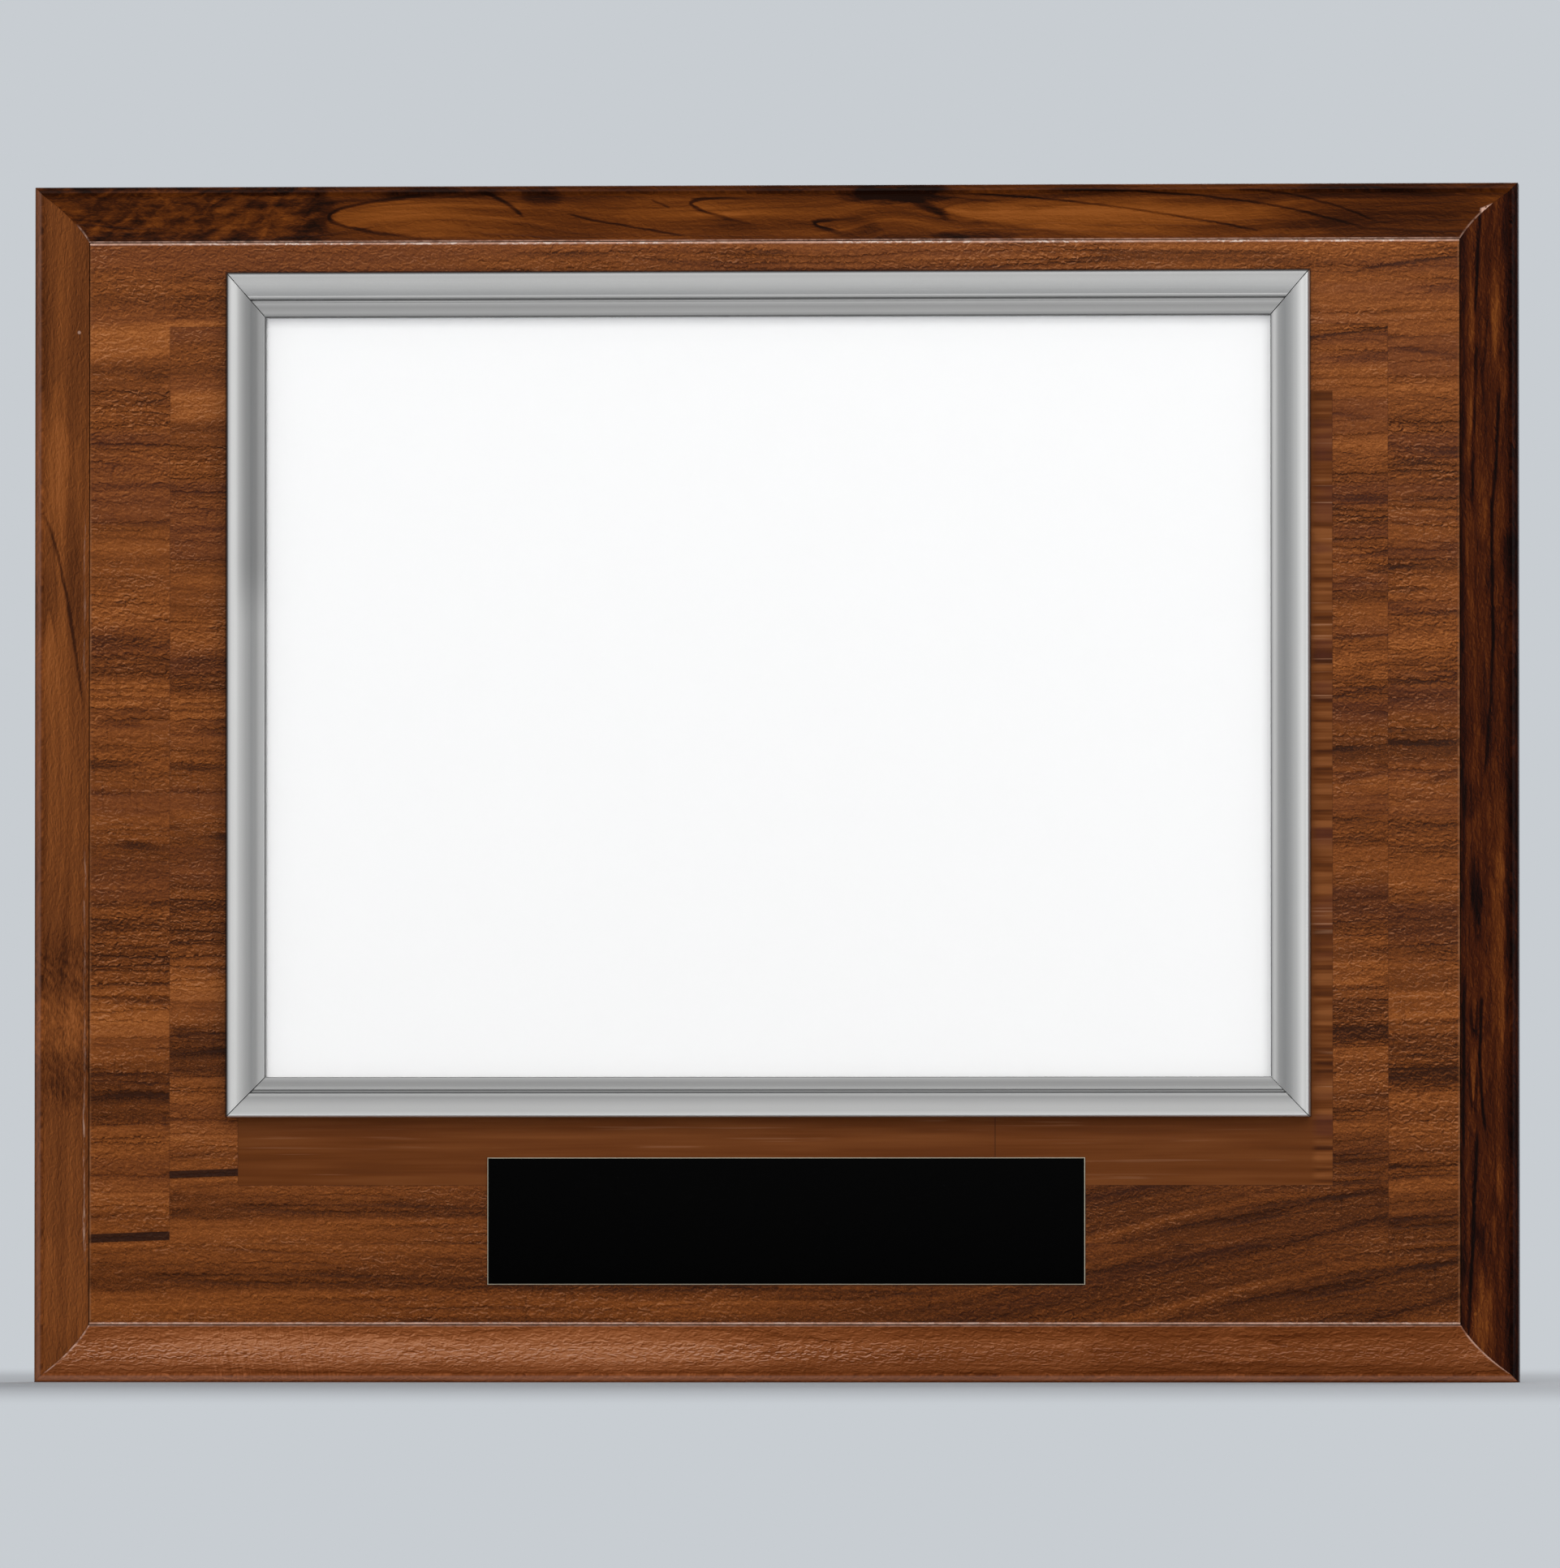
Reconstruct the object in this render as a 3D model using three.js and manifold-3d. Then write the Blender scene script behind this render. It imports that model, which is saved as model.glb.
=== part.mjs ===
// Certificate plaque: a wood-grain board with moulded edges, a silver frame that a certificate
// drops into from above, and a black engraving plate below the frame.
// Millimetres. The origin is the middle of the back, on the wall. +X is to the viewer's right,
// +Y goes into the wall and +Z is up, so a height above the wall is a negative Y.

import * as THREE from "three";
import { ConvexGeometry } from "three/addons/geometries/ConvexGeometry.js";
import { mergeVertices } from "three/addons/utils/BufferGeometryUtils.js";
import Module from "manifold-3d";

// Certificate, with the card behind it and the clear cover in front
const sheetWidth = 266.7;
const sheetHeight = 209.6;
const cardThickness = 1.0;
const paperThickness = 0.3;
const coverThickness = 1.3;
const coverEase = 0.3; // 45 degree ease on the front edges of the cover
const slideGap = 0.3; // round the sheets in their slot
const coverGap = 0.2; // between certificate and cover
const slotSetback = 1.3; // from the top of the sheets to the outside of the top rail

// Silver rails: widths seen from the front, and heights in the section
const railFace = { bottom: 10.2, right: 9.9, top: 11.4, left: 9.9 };
const railLeg = 5.0; // wall between the slot and the outside
const chamberFloor = 0.5; // wall between the slot and the chamber of the corner keys
const chamberWall = 1.3; // wall between the chamber and the outside
const crownWall = 2.1; // from the chamber up to the crest
const crownDrop = 0.85; // from the crest down to the groove
const crownBulge = 0.2; // how far the crown swells above a straight slope
const grooveDepth = 0.75;
const grooveRise = 0.2; // from the floor of the groove up to the lip
const hollowDrop = 0.95; // from the crest down to where a plain rail turns hollow
const lipThickness = 2.3; // at the edge of the opening
const lipRound = 0.5;
const groovedRails = ["top", "bottom"]; // the others fall in one smooth hollow

// Lines on the face of a rail, as shares of its width, so that unlike rails meet on the mitres
const crestLine = 0.12;
const crownLine = 0.4;
const grooveLine = 0.55;
const grooveFloorLine = 0.595;
const hollowLine = 0.6;
const lipLine = 0.645;

// Corner keys
const keyWidth = 2.8;
const keyThickness = 1.2;
const keyLeg = 18;

// Board: laminates on a core, with a moulding along each edge
const coreThickness = 17.4;
const faceSheetThickness = 0.8;
const faceSheetEase = 0.45;
const backSheetThickness = 0.8;
const mouldingWidth = 14.6;
const wallHeight = 12.5; // straight outer side, up to the top of the bead
const beadRadius = 1.1;
const beadWidth = 1.7;
const quirkWidth = 0.5; // narrow channel between bead and bevel
const quirkDepth = 0.5;
// How far each bevel swells above a straight slope: fuller along the top and the bottom
const bevelBulge = { bottom: 0.65, right: 0.1, top: 0.65, left: 0.1 };
const arrisStep = 0.55; // the face stands this far above the moulding
const tongueLength = 4;
const tongueThickness = 4;

// Where the frame and the plate lie on the face
const frameMarginLeft = 36.1;
const frameMarginRight = 38.4;
const frameMarginTop = 8.3;
const plateDrop = 10.4; // from the frame down to the plate
const plateMarginBottom = 10.4;
const plateShift = 4.5; // the plate lies this far right of the middle of the frame

// Engraving plate and its tape
const plateWidth = 153.1;
const plateHeight = 32.5;
const plateThickness = 0.8;
const plateEase = 0.45;
const tapeThickness = 0.3;
const tapeInset = 2;

// Screws that hold the rails, put in from behind
const screwDiameter = 2.6;
const screwHeadDiameter = 5.2;
const screwHeadHeight = 1.8;
const screwDriveWidth = 0.8;
const screwDriveLength = 3;
const screwDriveDepth = 1;
const counterboreDepth = 8;
const counterboreGap = 0.9;
const screwTipWall = 0.7; // wall left between a screw's tip and the chamber above it
const sideScrewInset = 38; // from the ends of a side rail to its screws
const bottomScrewInset = 48.6; // from the ends of the bottom rail to its outer screws

// Keyhole plate on the back, its screws and the pocket behind it
const hangerWidth = 16;
const hangerHeight = 44;
const hangerThickness = 1.6;
const hangerDrop = 38; // from the top of the panel to the middle of the plate
const hangerScrewInset = 5; // from the ends of the plate to its screws
const hangerScrewDiameter = 2.8;
const hangerScrewHead = 5.6;
const hangerScrewLength = 12;
const keyholeDiameter = 9.2;
const keyholeSlotWidth = 4.8;
const keyholeTravel = 10.5; // from the middle of the entry to the middle of the slot's round end
const keyholeRise = -5; // the entry's middle, from the middle of the plate
const pocketGap = 1.4; // round the keyhole, behind the plate
const pocketDepth = 7;

// Clearances
const fitGap = 0.3; // round a piece in its hole, groove or recess
const glueGap = 0.2; // between mouldings and panel
const mitreGap = 0.15; // from each mitred end to the plane of the mitre
const seatGap = 0.1; // under the heads of screws and behind the keyhole plate
const cutPast = 1; // how far a cutting tool runs out of the material

// Finishes
const finishes = {
  fibreboard: { color: 0x8c6a48, roughness: 0.85, metalness: 0 },
  faceGrain: { color: 0x6d3c20, roughness: 0.42, metalness: 0 },
  edgeGrain: { color: 0x6b3b1f, roughness: 0.38, metalness: 0 },
  backLaminate: { color: 0x3a2519, roughness: 0.6, metalness: 0 },
  steel: { color: 0xb4b6b8, roughness: 0.35, metalness: 0.9 },
  silver: { color: 0xa9abaa, roughness: 0.28, metalness: 0.95 },
  alloy: { color: 0x8f9193, roughness: 0.5, metalness: 0.8 },
  card: { color: 0xcfcabc, roughness: 0.9, metalness: 0 },
  paper: { color: 0xfdfdfc, roughness: 0.7, metalness: 0 },
  acrylic: { color: 0xf4f8f8, roughness: 0.06, metalness: 0, transparent: true, opacity: 0.15 },
  tape: { color: 0xe6e2d6, roughness: 0.8, metalness: 0 },
  blackMetal: { color: 0x0a0a0a, roughness: 0.35, metalness: 0.2 },
};

const mergeDistance = 1e-4;
const curveSegments = 8;
const scribeSteps = 6; // along the mitre of two mouldings
const roundSides = 24;

// Sizes that follow from those above
const slotHeight = slideGap + cardThickness + paperThickness + coverGap + coverThickness + slideGap;
const chamberHeight = keyThickness + 2 * fitGap;
const chamberWidth = keyWidth + 2 * fitGap;
const chamberBottom = slotHeight + chamberFloor;
const chamberTop = chamberBottom + chamberHeight;
const narrowestRail = Math.min(...Object.values(railFace));
const crestHeight = chamberTop + crownWall;
const boardThickness = backSheetThickness + coreThickness + faceSheetThickness;
const slotWidth = sheetWidth + 2 * slideGap;
const frame = {
  width: slotWidth + 2 * railLeg,
  height: railLeg + slideGap + sheetHeight + slotSetback,
};
const face = {
  width: frameMarginLeft + frame.width + frameMarginRight,
  height: frameMarginTop + frame.height + plateDrop + plateHeight + plateMarginBottom,
};
const board = {
  width: face.width + 2 * mouldingWidth,
  height: face.height + 2 * mouldingWidth,
  x: 0,
  z: 0,
};
frame.x = frameMarginLeft + frame.width / 2 - face.width / 2;
frame.z = face.height / 2 - frameMarginTop - frame.height / 2;
const panelWidth = face.width - 2 * glueGap;
const panelHeight = face.height - 2 * glueGap;
const tongueMiddle = backSheetThickness + coreThickness / 2;
const sheetBottom = frame.z - frame.height / 2 + railLeg + slideGap;
const plateX = frame.x + plateShift;
const plateZ = frame.z - frame.height / 2 - plateDrop - plateHeight / 2;
const hangerZ = panelHeight / 2 - hangerDrop;
const screwBite = chamberBottom - screwTipWall; // into a rail, above the face of the board

// The sides of a rectangle: the turn about Y that takes a bar from the bottom to each side, and
// the sides that it meets at its start and at its end
const sides = {
  bottom: { turn: 0, start: "left", end: "right" },
  right: { turn: -Math.PI / 2, start: "bottom", end: "top" },
  top: { turn: Math.PI, start: "right", end: "left" },
  left: { turn: Math.PI / 2, start: "top", end: "bottom" },
};

const wasm = await Module();
wasm.setup();

function toSolid(geometry) {
  const bare = new THREE.BufferGeometry();
  bare.setAttribute("position", geometry.getAttribute("position"));
  bare.setIndex(geometry.getIndex());
  const merged = mergeVertices(bare, mergeDistance);
  const vertProperties = merged.getAttribute("position").array;
  const triVerts = new Uint32Array(merged.getIndex().array);
  return new wasm.Manifold(new wasm.Mesh({ numProp: 3, vertProperties, triVerts }));
}

function toGeometry(solid) {
  const { vertProperties, triVerts } = solid.getMesh();
  const geometry = new THREE.BufferGeometry();
  geometry.setAttribute("position", new THREE.BufferAttribute(vertProperties, 3));
  geometry.setIndex(new THREE.BufferAttribute(triVerts, 1));
  return geometry;
}

function cut(geometry, tools) {
  return toGeometry(tools.reduce((solid, tool) => solid.subtract(toSolid(tool)), toSolid(geometry)));
}

function meshOf(name, geometry, finish) {
  const mesh = new THREE.Mesh(geometry, new THREE.MeshStandardMaterial(finishes[finish]));
  mesh.name = name;
  return mesh;
}

// A box between two heights above the wall
function slab(width, height, low, high, x = 0, z = 0) {
  return new THREE.BoxGeometry(width, high - low, height).translate(x, -(low + high) / 2, z);
}

// A plate between two heights, with its front edges eased at 45 degrees
function easedPlate(width, height, low, high, ease) {
  const layers = [
    { inset: 0, level: low },
    { inset: 0, level: high - ease },
    { inset: ease, level: high },
  ];
  const corners = layers.flatMap(({ inset, level }) =>
    [-1, 1].flatMap((sx) =>
      [-1, 1].map(
        (sz) => new THREE.Vector3(sx * (width / 2 - inset), -level, sz * (height / 2 - inset)),
      ),
    ),
  );
  return new ConvexGeometry(corners);
}

// A round hole or pin between two heights
function rod(diameter, low, high, x, z) {
  const radius = diameter / 2;
  const geometry = new THREE.CylinderGeometry(radius, radius, high - low, roundSides);
  return geometry.translate(x, -(low + high) / 2, z);
}

// An outline drawn in X and Z, made solid between two heights
function raise(outline, low, high, x = 0, z = 0) {
  const depth = high - low;
  const geometry = new THREE.ExtrudeGeometry(outline, { depth, bevelEnabled: false, curveSegments });
  return geometry.rotateX(Math.PI / 2).translate(x, -low, z);
}

// A turned screw, or the hole for one, at a point of the back, from pairs of radius and height
function turned(profile, x, z) {
  const points = profile.map(([radius, height]) => new THREE.Vector2(radius, -height));
  return new THREE.LatheGeometry(points.reverse(), roundSides).translate(x, 0, z);
}

// A bar along X whose outer edge is on the origin. Its section is drawn inwards and upwards, and
// each end is cut back from the outer edge by a slope, so that it meets its neighbour on the mitre.
function mitredBar(section, length, startSlope, endSlope) {
  const geometry = new THREE.ExtrudeGeometry(section, {
    depth: length,
    bevelEnabled: false,
    curveSegments,
  });
  const place = geometry.getAttribute("position");
  for (let i = 0; i < place.count; i += 1) {
    const inwards = place.getX(i);
    const atEnd = place.getZ(i) > length / 2;
    const slope = atEnd ? endSlope : startSlope;
    const reach = length / 2 - mitreGap - inwards * slope;
    place.setXYZ(i, atEnd ? reach : -reach, -place.getY(i), inwards);
  }
  return geometry;
}

// The middle of a side of a rectangle, its length, and the directions along and into it
function sideOf(rectangle, side) {
  const { turn } = sides[side];
  const along = new THREE.Vector3(Math.cos(turn), 0, -Math.sin(turn));
  const inwards = new THREE.Vector3(Math.sin(turn), 0, Math.cos(turn));
  const upright = side === "left" || side === "right";
  const length = upright ? rectangle.height : rectangle.width;
  const reach = (upright ? rectangle.width : rectangle.height) / 2;
  const middle = new THREE.Vector3(rectangle.x, 0, rectangle.z).addScaledVector(inwards, -reach);
  return { turn, along, inwards, length, middle };
}

function placeOnSide(mesh, rectangle, side, height) {
  const { turn, middle } = sideOf(rectangle, side);
  mesh.rotation.y = turn;
  mesh.position.copy(middle).setY(-height);
  return mesh;
}

// Screws of the frame: the rail each goes into, and its place along that rail
const sideScrewReach = frame.height / 2 - sideScrewInset;
const bottomScrewReach = frame.width / 2 - bottomScrewInset;
const frameScrews = [
  { name: "left_upper", side: "left", at: -sideScrewReach },
  { name: "left_lower", side: "left", at: sideScrewReach },
  { name: "right_lower", side: "right", at: -sideScrewReach },
  { name: "right_upper", side: "right", at: sideScrewReach },
  { name: "bottom_left", side: "bottom", at: -bottomScrewReach },
  { name: "bottom_middle", side: "bottom", at: 0 },
  { name: "bottom_right", side: "bottom", at: bottomScrewReach },
];

function screwPoint({ side, at }) {
  const { along, inwards, middle } = sideOf(frame, side);
  return middle.addScaledVector(along, at).addScaledVector(inwards, railLeg / 2);
}

const screwHole = screwDiameter + 2 * fitGap;
const counterbore = screwHeadDiameter + 2 * counterboreGap;
const hangerScrewReach = hangerHeight / 2 - hangerScrewInset;
const hangerScrewZs = { upper: hangerZ + hangerScrewReach, lower: hangerZ - hangerScrewReach };

// Board

// The bevel runs from the quirk up to the face, in inward distances and heights
const bevelFoot = new THREE.Vector2(beadWidth + quirkWidth, wallHeight - quirkDepth);
const bevelTop = new THREE.Vector2(mouldingWidth, boardThickness - arrisStep);
const tongueEnd = mouldingWidth + tongueLength;

function bevelCurve(side) {
  const slope = bevelTop.clone().sub(bevelFoot).normalize();
  const swell = new THREE.Vector2(-slope.y, slope.x).multiplyScalar(2 * bevelBulge[side]);
  const control = bevelFoot.clone().add(bevelTop).multiplyScalar(0.5).add(swell);
  return new THREE.QuadraticBezierCurve(bevelFoot, control, bevelTop);
}

// How far in a bevel reaches a given height
function bevelInset(side, height) {
  const { v0, v1, v2 } = bevelCurve(side);
  const a = v0.y - 2 * v1.y + v2.y;
  const b = 2 * (v1.y - v0.y);
  const c = v0.y - height;
  const t = (2 * c) / (-b - Math.sqrt(b * b - 4 * a * c));
  return bevelCurve(side).getPoint(t).x;
}

function mouldingSection(side) {
  const { v1: control } = bevelCurve(side);
  const tongueTop = tongueMiddle + tongueThickness / 2;
  const tongueBottom = tongueMiddle - tongueThickness / 2;
  const section = new THREE.Shape();
  section.moveTo(0, 0);
  section.lineTo(0, wallHeight - beadRadius);
  section.absarc(beadRadius, wallHeight - beadRadius, beadRadius, Math.PI, Math.PI / 2, true);
  section.lineTo(beadWidth, wallHeight);
  section.lineTo(beadWidth, bevelFoot.y);
  section.lineTo(bevelFoot.x, bevelFoot.y);
  section.quadraticCurveTo(control.x, control.y, bevelTop.x, bevelTop.y);
  section.lineTo(mouldingWidth, tongueTop);
  section.lineTo(tongueEnd, tongueTop);
  section.lineTo(tongueEnd, tongueBottom);
  section.lineTo(mouldingWidth, tongueBottom);
  section.lineTo(mouldingWidth, 0);
  section.closePath();
  return section;
}

// The outline of a moulding seen from the front. Where bevels of unlike curvature meet at a corner,
// the mitre follows the line on which both are equally high.
function mouldingOutline(side, length) {
  const scribe = Array.from({ length: scribeSteps + 1 }, (_, i) => {
    const height = THREE.MathUtils.lerp(bevelFoot.y, bevelTop.y, i / scribeSteps);
    return [bevelInset(sides[side].start, height), bevelInset(side, height)];
  });
  const corner = [[0, 0], ...scribe, [tongueEnd, tongueEnd]];
  const half = length / 2 - mitreGap;
  const right = corner.map(([cutBack, inwards]) => new THREE.Vector2(half - cutBack, inwards));
  const left = corner.map(([cutBack, inwards]) => new THREE.Vector2(cutBack - half, inwards));
  return new THREE.Shape([...right, ...left.reverse()]);
}

function mouldings() {
  return Object.keys(sides).map((side) => {
    const { length } = sideOf(board, side);
    const bar = toSolid(mitredBar(mouldingSection(side), length, 0, 0));
    const outline = raise(mouldingOutline(side, length), -cutPast, boardThickness + cutPast);
    const geometry = toGeometry(bar.intersect(toSolid(outline)));
    const mesh = meshOf(`edge_${side}`, geometry, "edgeGrain");
    return placeOnSide(mesh, board, side, 0);
  });
}

// Grooves for the tongues, along the four edges of the panel
function panelGrooves() {
  const depth = tongueLength + fitGap - glueGap;
  const low = tongueMiddle - tongueThickness / 2 - fitGap;
  const high = tongueMiddle + tongueThickness / 2 + fitGap;
  const across = panelWidth + 2 * cutPast;
  const upwards = panelHeight + 2 * cutPast;
  return [-1, 1].flatMap((sign) => [
    slab(depth + cutPast, upwards, low, high, (sign * (panelWidth - depth + cutPast)) / 2, 0),
    slab(across, depth + cutPast, low, high, 0, (sign * (panelHeight - depth + cutPast)) / 2),
  ]);
}

function keyholeOutline(entryDiameter, slotWidth) {
  const radius = entryDiameter / 2;
  const half = slotWidth / 2;
  const shoulder = Math.asin(half / radius);
  const top = keyholeRise + keyholeTravel;
  const outline = new THREE.Path();
  outline.absarc(0, keyholeRise, radius, Math.PI / 2 - shoulder, Math.PI / 2 + shoulder, true);
  outline.lineTo(-half, top);
  outline.absarc(0, top, half, Math.PI, 0, true);
  outline.closePath();
  return outline;
}

function roundedStrip(width, height, middle) {
  const half = width / 2;
  const reach = height / 2 - half;
  const outline = new THREE.Shape();
  outline.absarc(0, middle + reach, half, 0, Math.PI, false);
  outline.absarc(0, middle - reach, half, Math.PI, 2 * Math.PI, false);
  outline.closePath();
  return outline;
}

// The space behind the keyhole plate that the head of a wall screw moves in
function hangerPocket() {
  const width = keyholeDiameter + 2 * pocketGap;
  const height = width + keyholeTravel;
  const outline = roundedStrip(width, height, keyholeRise + keyholeTravel / 2);
  const low = hangerThickness;
  return raise(outline, low, hangerThickness + seatGap + pocketDepth, 0, hangerZ);
}

// The let-in bed of the keyhole plate
function hangerBed() {
  const outline = roundedStrip(hangerWidth + 2 * fitGap, hangerHeight + 2 * fitGap, 0);
  return raise(outline, -cutPast, hangerThickness + seatGap, 0, hangerZ);
}

function corePanel() {
  const low = backSheetThickness;
  const tools = [...panelGrooves(), hangerBed(), hangerPocket()];
  for (const z of Object.values(hangerScrewZs)) {
    const depth = hangerScrewLength + fitGap;
    tools.push(rod(hangerScrewDiameter + 2 * fitGap, 0, depth, 0, z));
  }
  for (const screw of frameScrews) {
    const { x, z } = screwPoint(screw);
    tools.push(rod(screwHole, 0, boardThickness, x, z));
    tools.push(rod(counterbore, 0, counterboreDepth, x, z));
  }
  const geometry = cut(slab(panelWidth, panelHeight, low, low + coreThickness), tools);
  return meshOf("core_panel", geometry, "fibreboard");
}

function faceSheet() {
  const low = backSheetThickness + coreThickness;
  const plate = easedPlate(panelWidth, panelHeight, low, boardThickness, faceSheetEase);
  const tools = frameScrews.map((screw) => {
    const { x, z } = screwPoint(screw);
    return rod(screwHole, low - cutPast, boardThickness + cutPast, x, z);
  });
  return meshOf("face_sheet", cut(plate, tools), "faceGrain");
}

function backSheet() {
  const tools = frameScrews.map((screw) => {
    const { x, z } = screwPoint(screw);
    return rod(counterbore, -cutPast, backSheetThickness + cutPast, x, z);
  });
  const geometry = cut(slab(panelWidth, panelHeight, 0, backSheetThickness), [...tools, hangerBed()]);
  return meshOf("back_sheet", geometry, "backLaminate");
}

// Keyhole plate with countersunk screws, flush with the back

function hangerPlate() {
  const outline = roundedStrip(hangerWidth, hangerHeight, 0);
  outline.holes.push(keyholeOutline(keyholeDiameter, keyholeSlotWidth));
  const hole = hangerScrewDiameter + 2 * fitGap;
  const mouth = hangerScrewHead + 2 * fitGap;
  const coneDepth = (mouth - hole) / 2;
  const cone = [
    [0, -cutPast],
    [mouth / 2 + cutPast, -cutPast],
    [hole / 2, coneDepth],
    [hole / 2, hangerThickness + cutPast],
    [0, hangerThickness + cutPast],
  ];
  const tools = Object.values(hangerScrewZs).map((z) => turned(cone, 0, z));
  const geometry = cut(raise(outline, 0, hangerThickness, 0, hangerZ), tools);
  return meshOf("hanger_plate", geometry, "steel");
}

function hangerScrews() {
  const radius = hangerScrewDiameter / 2;
  const head = hangerScrewHead / 2;
  const neck = seatGap + head - radius;
  const profile = [
    [0, seatGap],
    [head, seatGap],
    [radius, neck],
    [radius, hangerScrewLength - hangerScrewDiameter],
    [0, hangerScrewLength],
  ];
  return Object.entries(hangerScrewZs).map(([name, z]) =>
    meshOf(`hanger_screw_${name}`, turned(profile, 0, z), "steel"),
  );
}

// Silver frame

function railSection(side) {
  const width = railFace[side];
  const crest = crestLine * width;
  const lipEdge = slotHeight + lipThickness;
  const lipTop = lipEdge + lipRound;
  const section = new THREE.Shape();
  section.moveTo(0, 0);
  section.lineTo(0, chamberTop);
  section.quadraticCurveTo(0, crestHeight, crest, crestHeight);
  if (groovedRails.includes(side)) {
    const groove = grooveLine * width;
    const grooveTop = crestHeight - crownDrop;
    const grooveFloor = grooveTop - grooveDepth;
    const bulge = (crestHeight + grooveTop) / 2 + 2 * crownBulge;
    section.quadraticCurveTo((crest + groove) / 2, bulge, groove, grooveTop);
    section.lineTo(grooveFloorLine * width, grooveFloor);
    section.lineTo(lipLine * width, grooveFloor + grooveRise);
    section.lineTo(width - lipRound, lipTop);
  } else {
    const bend = (2 * hollowLine - crownLine) * width;
    section.quadraticCurveTo(crownLine * width, crestHeight, hollowLine * width, crestHeight - hollowDrop);
    section.quadraticCurveTo(bend, crestHeight - 2 * hollowDrop, width - lipRound, lipTop);
  }
  section.quadraticCurveTo(width, lipTop, width, lipEdge);
  section.lineTo(width, slotHeight);
  section.lineTo(railLeg, slotHeight);
  section.lineTo(railLeg, 0);
  section.closePath();
  const chamberEnd = ((chamberWall + chamberWidth) * width) / narrowestRail;
  const chamber = new THREE.Path();
  chamber.moveTo(chamberWall, chamberBottom);
  chamber.lineTo(chamberEnd, chamberBottom);
  chamber.lineTo(chamberEnd, chamberTop);
  chamber.lineTo(chamberWall, chamberTop);
  chamber.closePath();
  section.holes.push(chamber);
  return section;
}

// The part of the top rail's leg that is milled away for the sheets to pass
function slotCutter() {
  const depth = railLeg + 2 * cutPast;
  return slab(slotWidth, depth, -cutPast, slotHeight, 0, railLeg / 2);
}

function rails() {
  return Object.entries(sides).map(([side, { start, end }]) => {
    const width = railFace[side];
    const { length } = sideOf(frame, side);
    const section = railSection(side);
    const bar = mitredBar(section, length, railFace[start] / width, railFace[end] / width);
    const tools = frameScrews
      .filter((screw) => screw.side === side)
      .map(({ at }) => rod(screwHole, -cutPast, screwBite + fitGap, at, railLeg / 2));
    if (side === "top") {
      tools.push(slotCutter());
    }
    const mesh = meshOf(`rail_${side}`, cut(bar, tools), "silver");
    return placeOnSide(mesh, frame, side, boardThickness);
  });
}

// An L-shaped key at the start of each rail, with a leg in its chamber and one in its neighbour's
function cornerKeys() {
  const near = chamberWall + fitGap;
  const far = near + keyWidth;
  const low = chamberBottom + fitGap;
  return Object.entries(sides).map(([side, { start }]) => {
    const { length } = sideOf(frame, side);
    const corner = -length / 2;
    const outline = new THREE.Shape();
    outline.moveTo(corner + near, near);
    outline.lineTo(corner + keyLeg, near);
    outline.lineTo(corner + keyLeg, far);
    outline.lineTo(corner + far, far);
    outline.lineTo(corner + far, keyLeg);
    outline.lineTo(corner + near, keyLeg);
    outline.closePath();
    const upright = side === "left" || side === "right";
    const name = upright ? `corner_key_${start}_${side}` : `corner_key_${side}_${start}`;
    const geometry = raise(outline, low, low + keyThickness);
    const mesh = meshOf(name, geometry, "alloy");
    return placeOnSide(mesh, frame, side, boardThickness);
  });
}

function frameScrewMeshes() {
  const radius = screwDiameter / 2;
  const head = screwHeadDiameter / 2;
  const under = counterboreDepth - seatGap;
  const back = under - screwHeadHeight;
  const tip = boardThickness + screwBite;
  const profile = [
    [0, back],
    [head * Math.SQRT1_2, back],
    [head, back + screwHeadHeight * (1 - Math.SQRT1_2)],
    [head, under],
    [radius, under],
    [radius, tip - radius],
    [0, tip],
  ];
  return frameScrews.map((screw) => {
    const { x, z } = screwPoint(screw);
    const drive = [
      slab(screwDriveLength, screwDriveWidth, back - cutPast, back + screwDriveDepth, x, z),
      slab(screwDriveWidth, screwDriveLength, back - cutPast, back + screwDriveDepth, x, z),
    ];
    const geometry = cut(turned(profile, x, z), drive);
    return meshOf(`frame_screw_${screw.name}`, geometry, "steel");
  });
}

// Sheets in the frame, from the board outwards

function sheets() {
  const card = boardThickness + slideGap;
  const paper = card + cardThickness;
  const cover = paper + paperThickness + coverGap;
  const z = sheetBottom + sheetHeight / 2;
  const clear = easedPlate(sheetWidth, sheetHeight, cover, cover + coverThickness, coverEase);
  const pieces = [
    meshOf("backing_card", slab(sheetWidth, sheetHeight, card, paper), "card"),
    meshOf("certificate", slab(sheetWidth, sheetHeight, paper, paper + paperThickness), "paper"),
    meshOf("clear_cover", clear, "acrylic"),
  ];
  for (const piece of pieces) {
    piece.position.set(frame.x, 0, z);
  }
  return pieces;
}

function engravingPlate() {
  const low = boardThickness + tapeThickness;
  const plate = easedPlate(plateWidth, plateHeight, low, low + plateThickness, plateEase);
  const tape = slab(plateWidth - 2 * tapeInset, plateHeight - 2 * tapeInset, boardThickness, low);
  const pieces = [
    meshOf("plate_tape", tape, "tape"),
    meshOf("engraving_plate", plate, "blackMetal"),
  ];
  for (const piece of pieces) {
    piece.position.set(plateX, 0, plateZ);
  }
  return pieces;
}

const boardGroup = new THREE.Group();
boardGroup.add(corePanel(), faceSheet(), backSheet(), ...mouldings());
boardGroup.add(hangerPlate(), ...hangerScrews());

const frameGroup = new THREE.Group();
frameGroup.add(...rails(), ...cornerKeys(), ...frameScrewMeshes());

const plaque = new THREE.Group();
plaque.add(boardGroup, frameGroup);
plaque.add(...sheets(), ...engravingPlate());

export default plaque;
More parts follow.
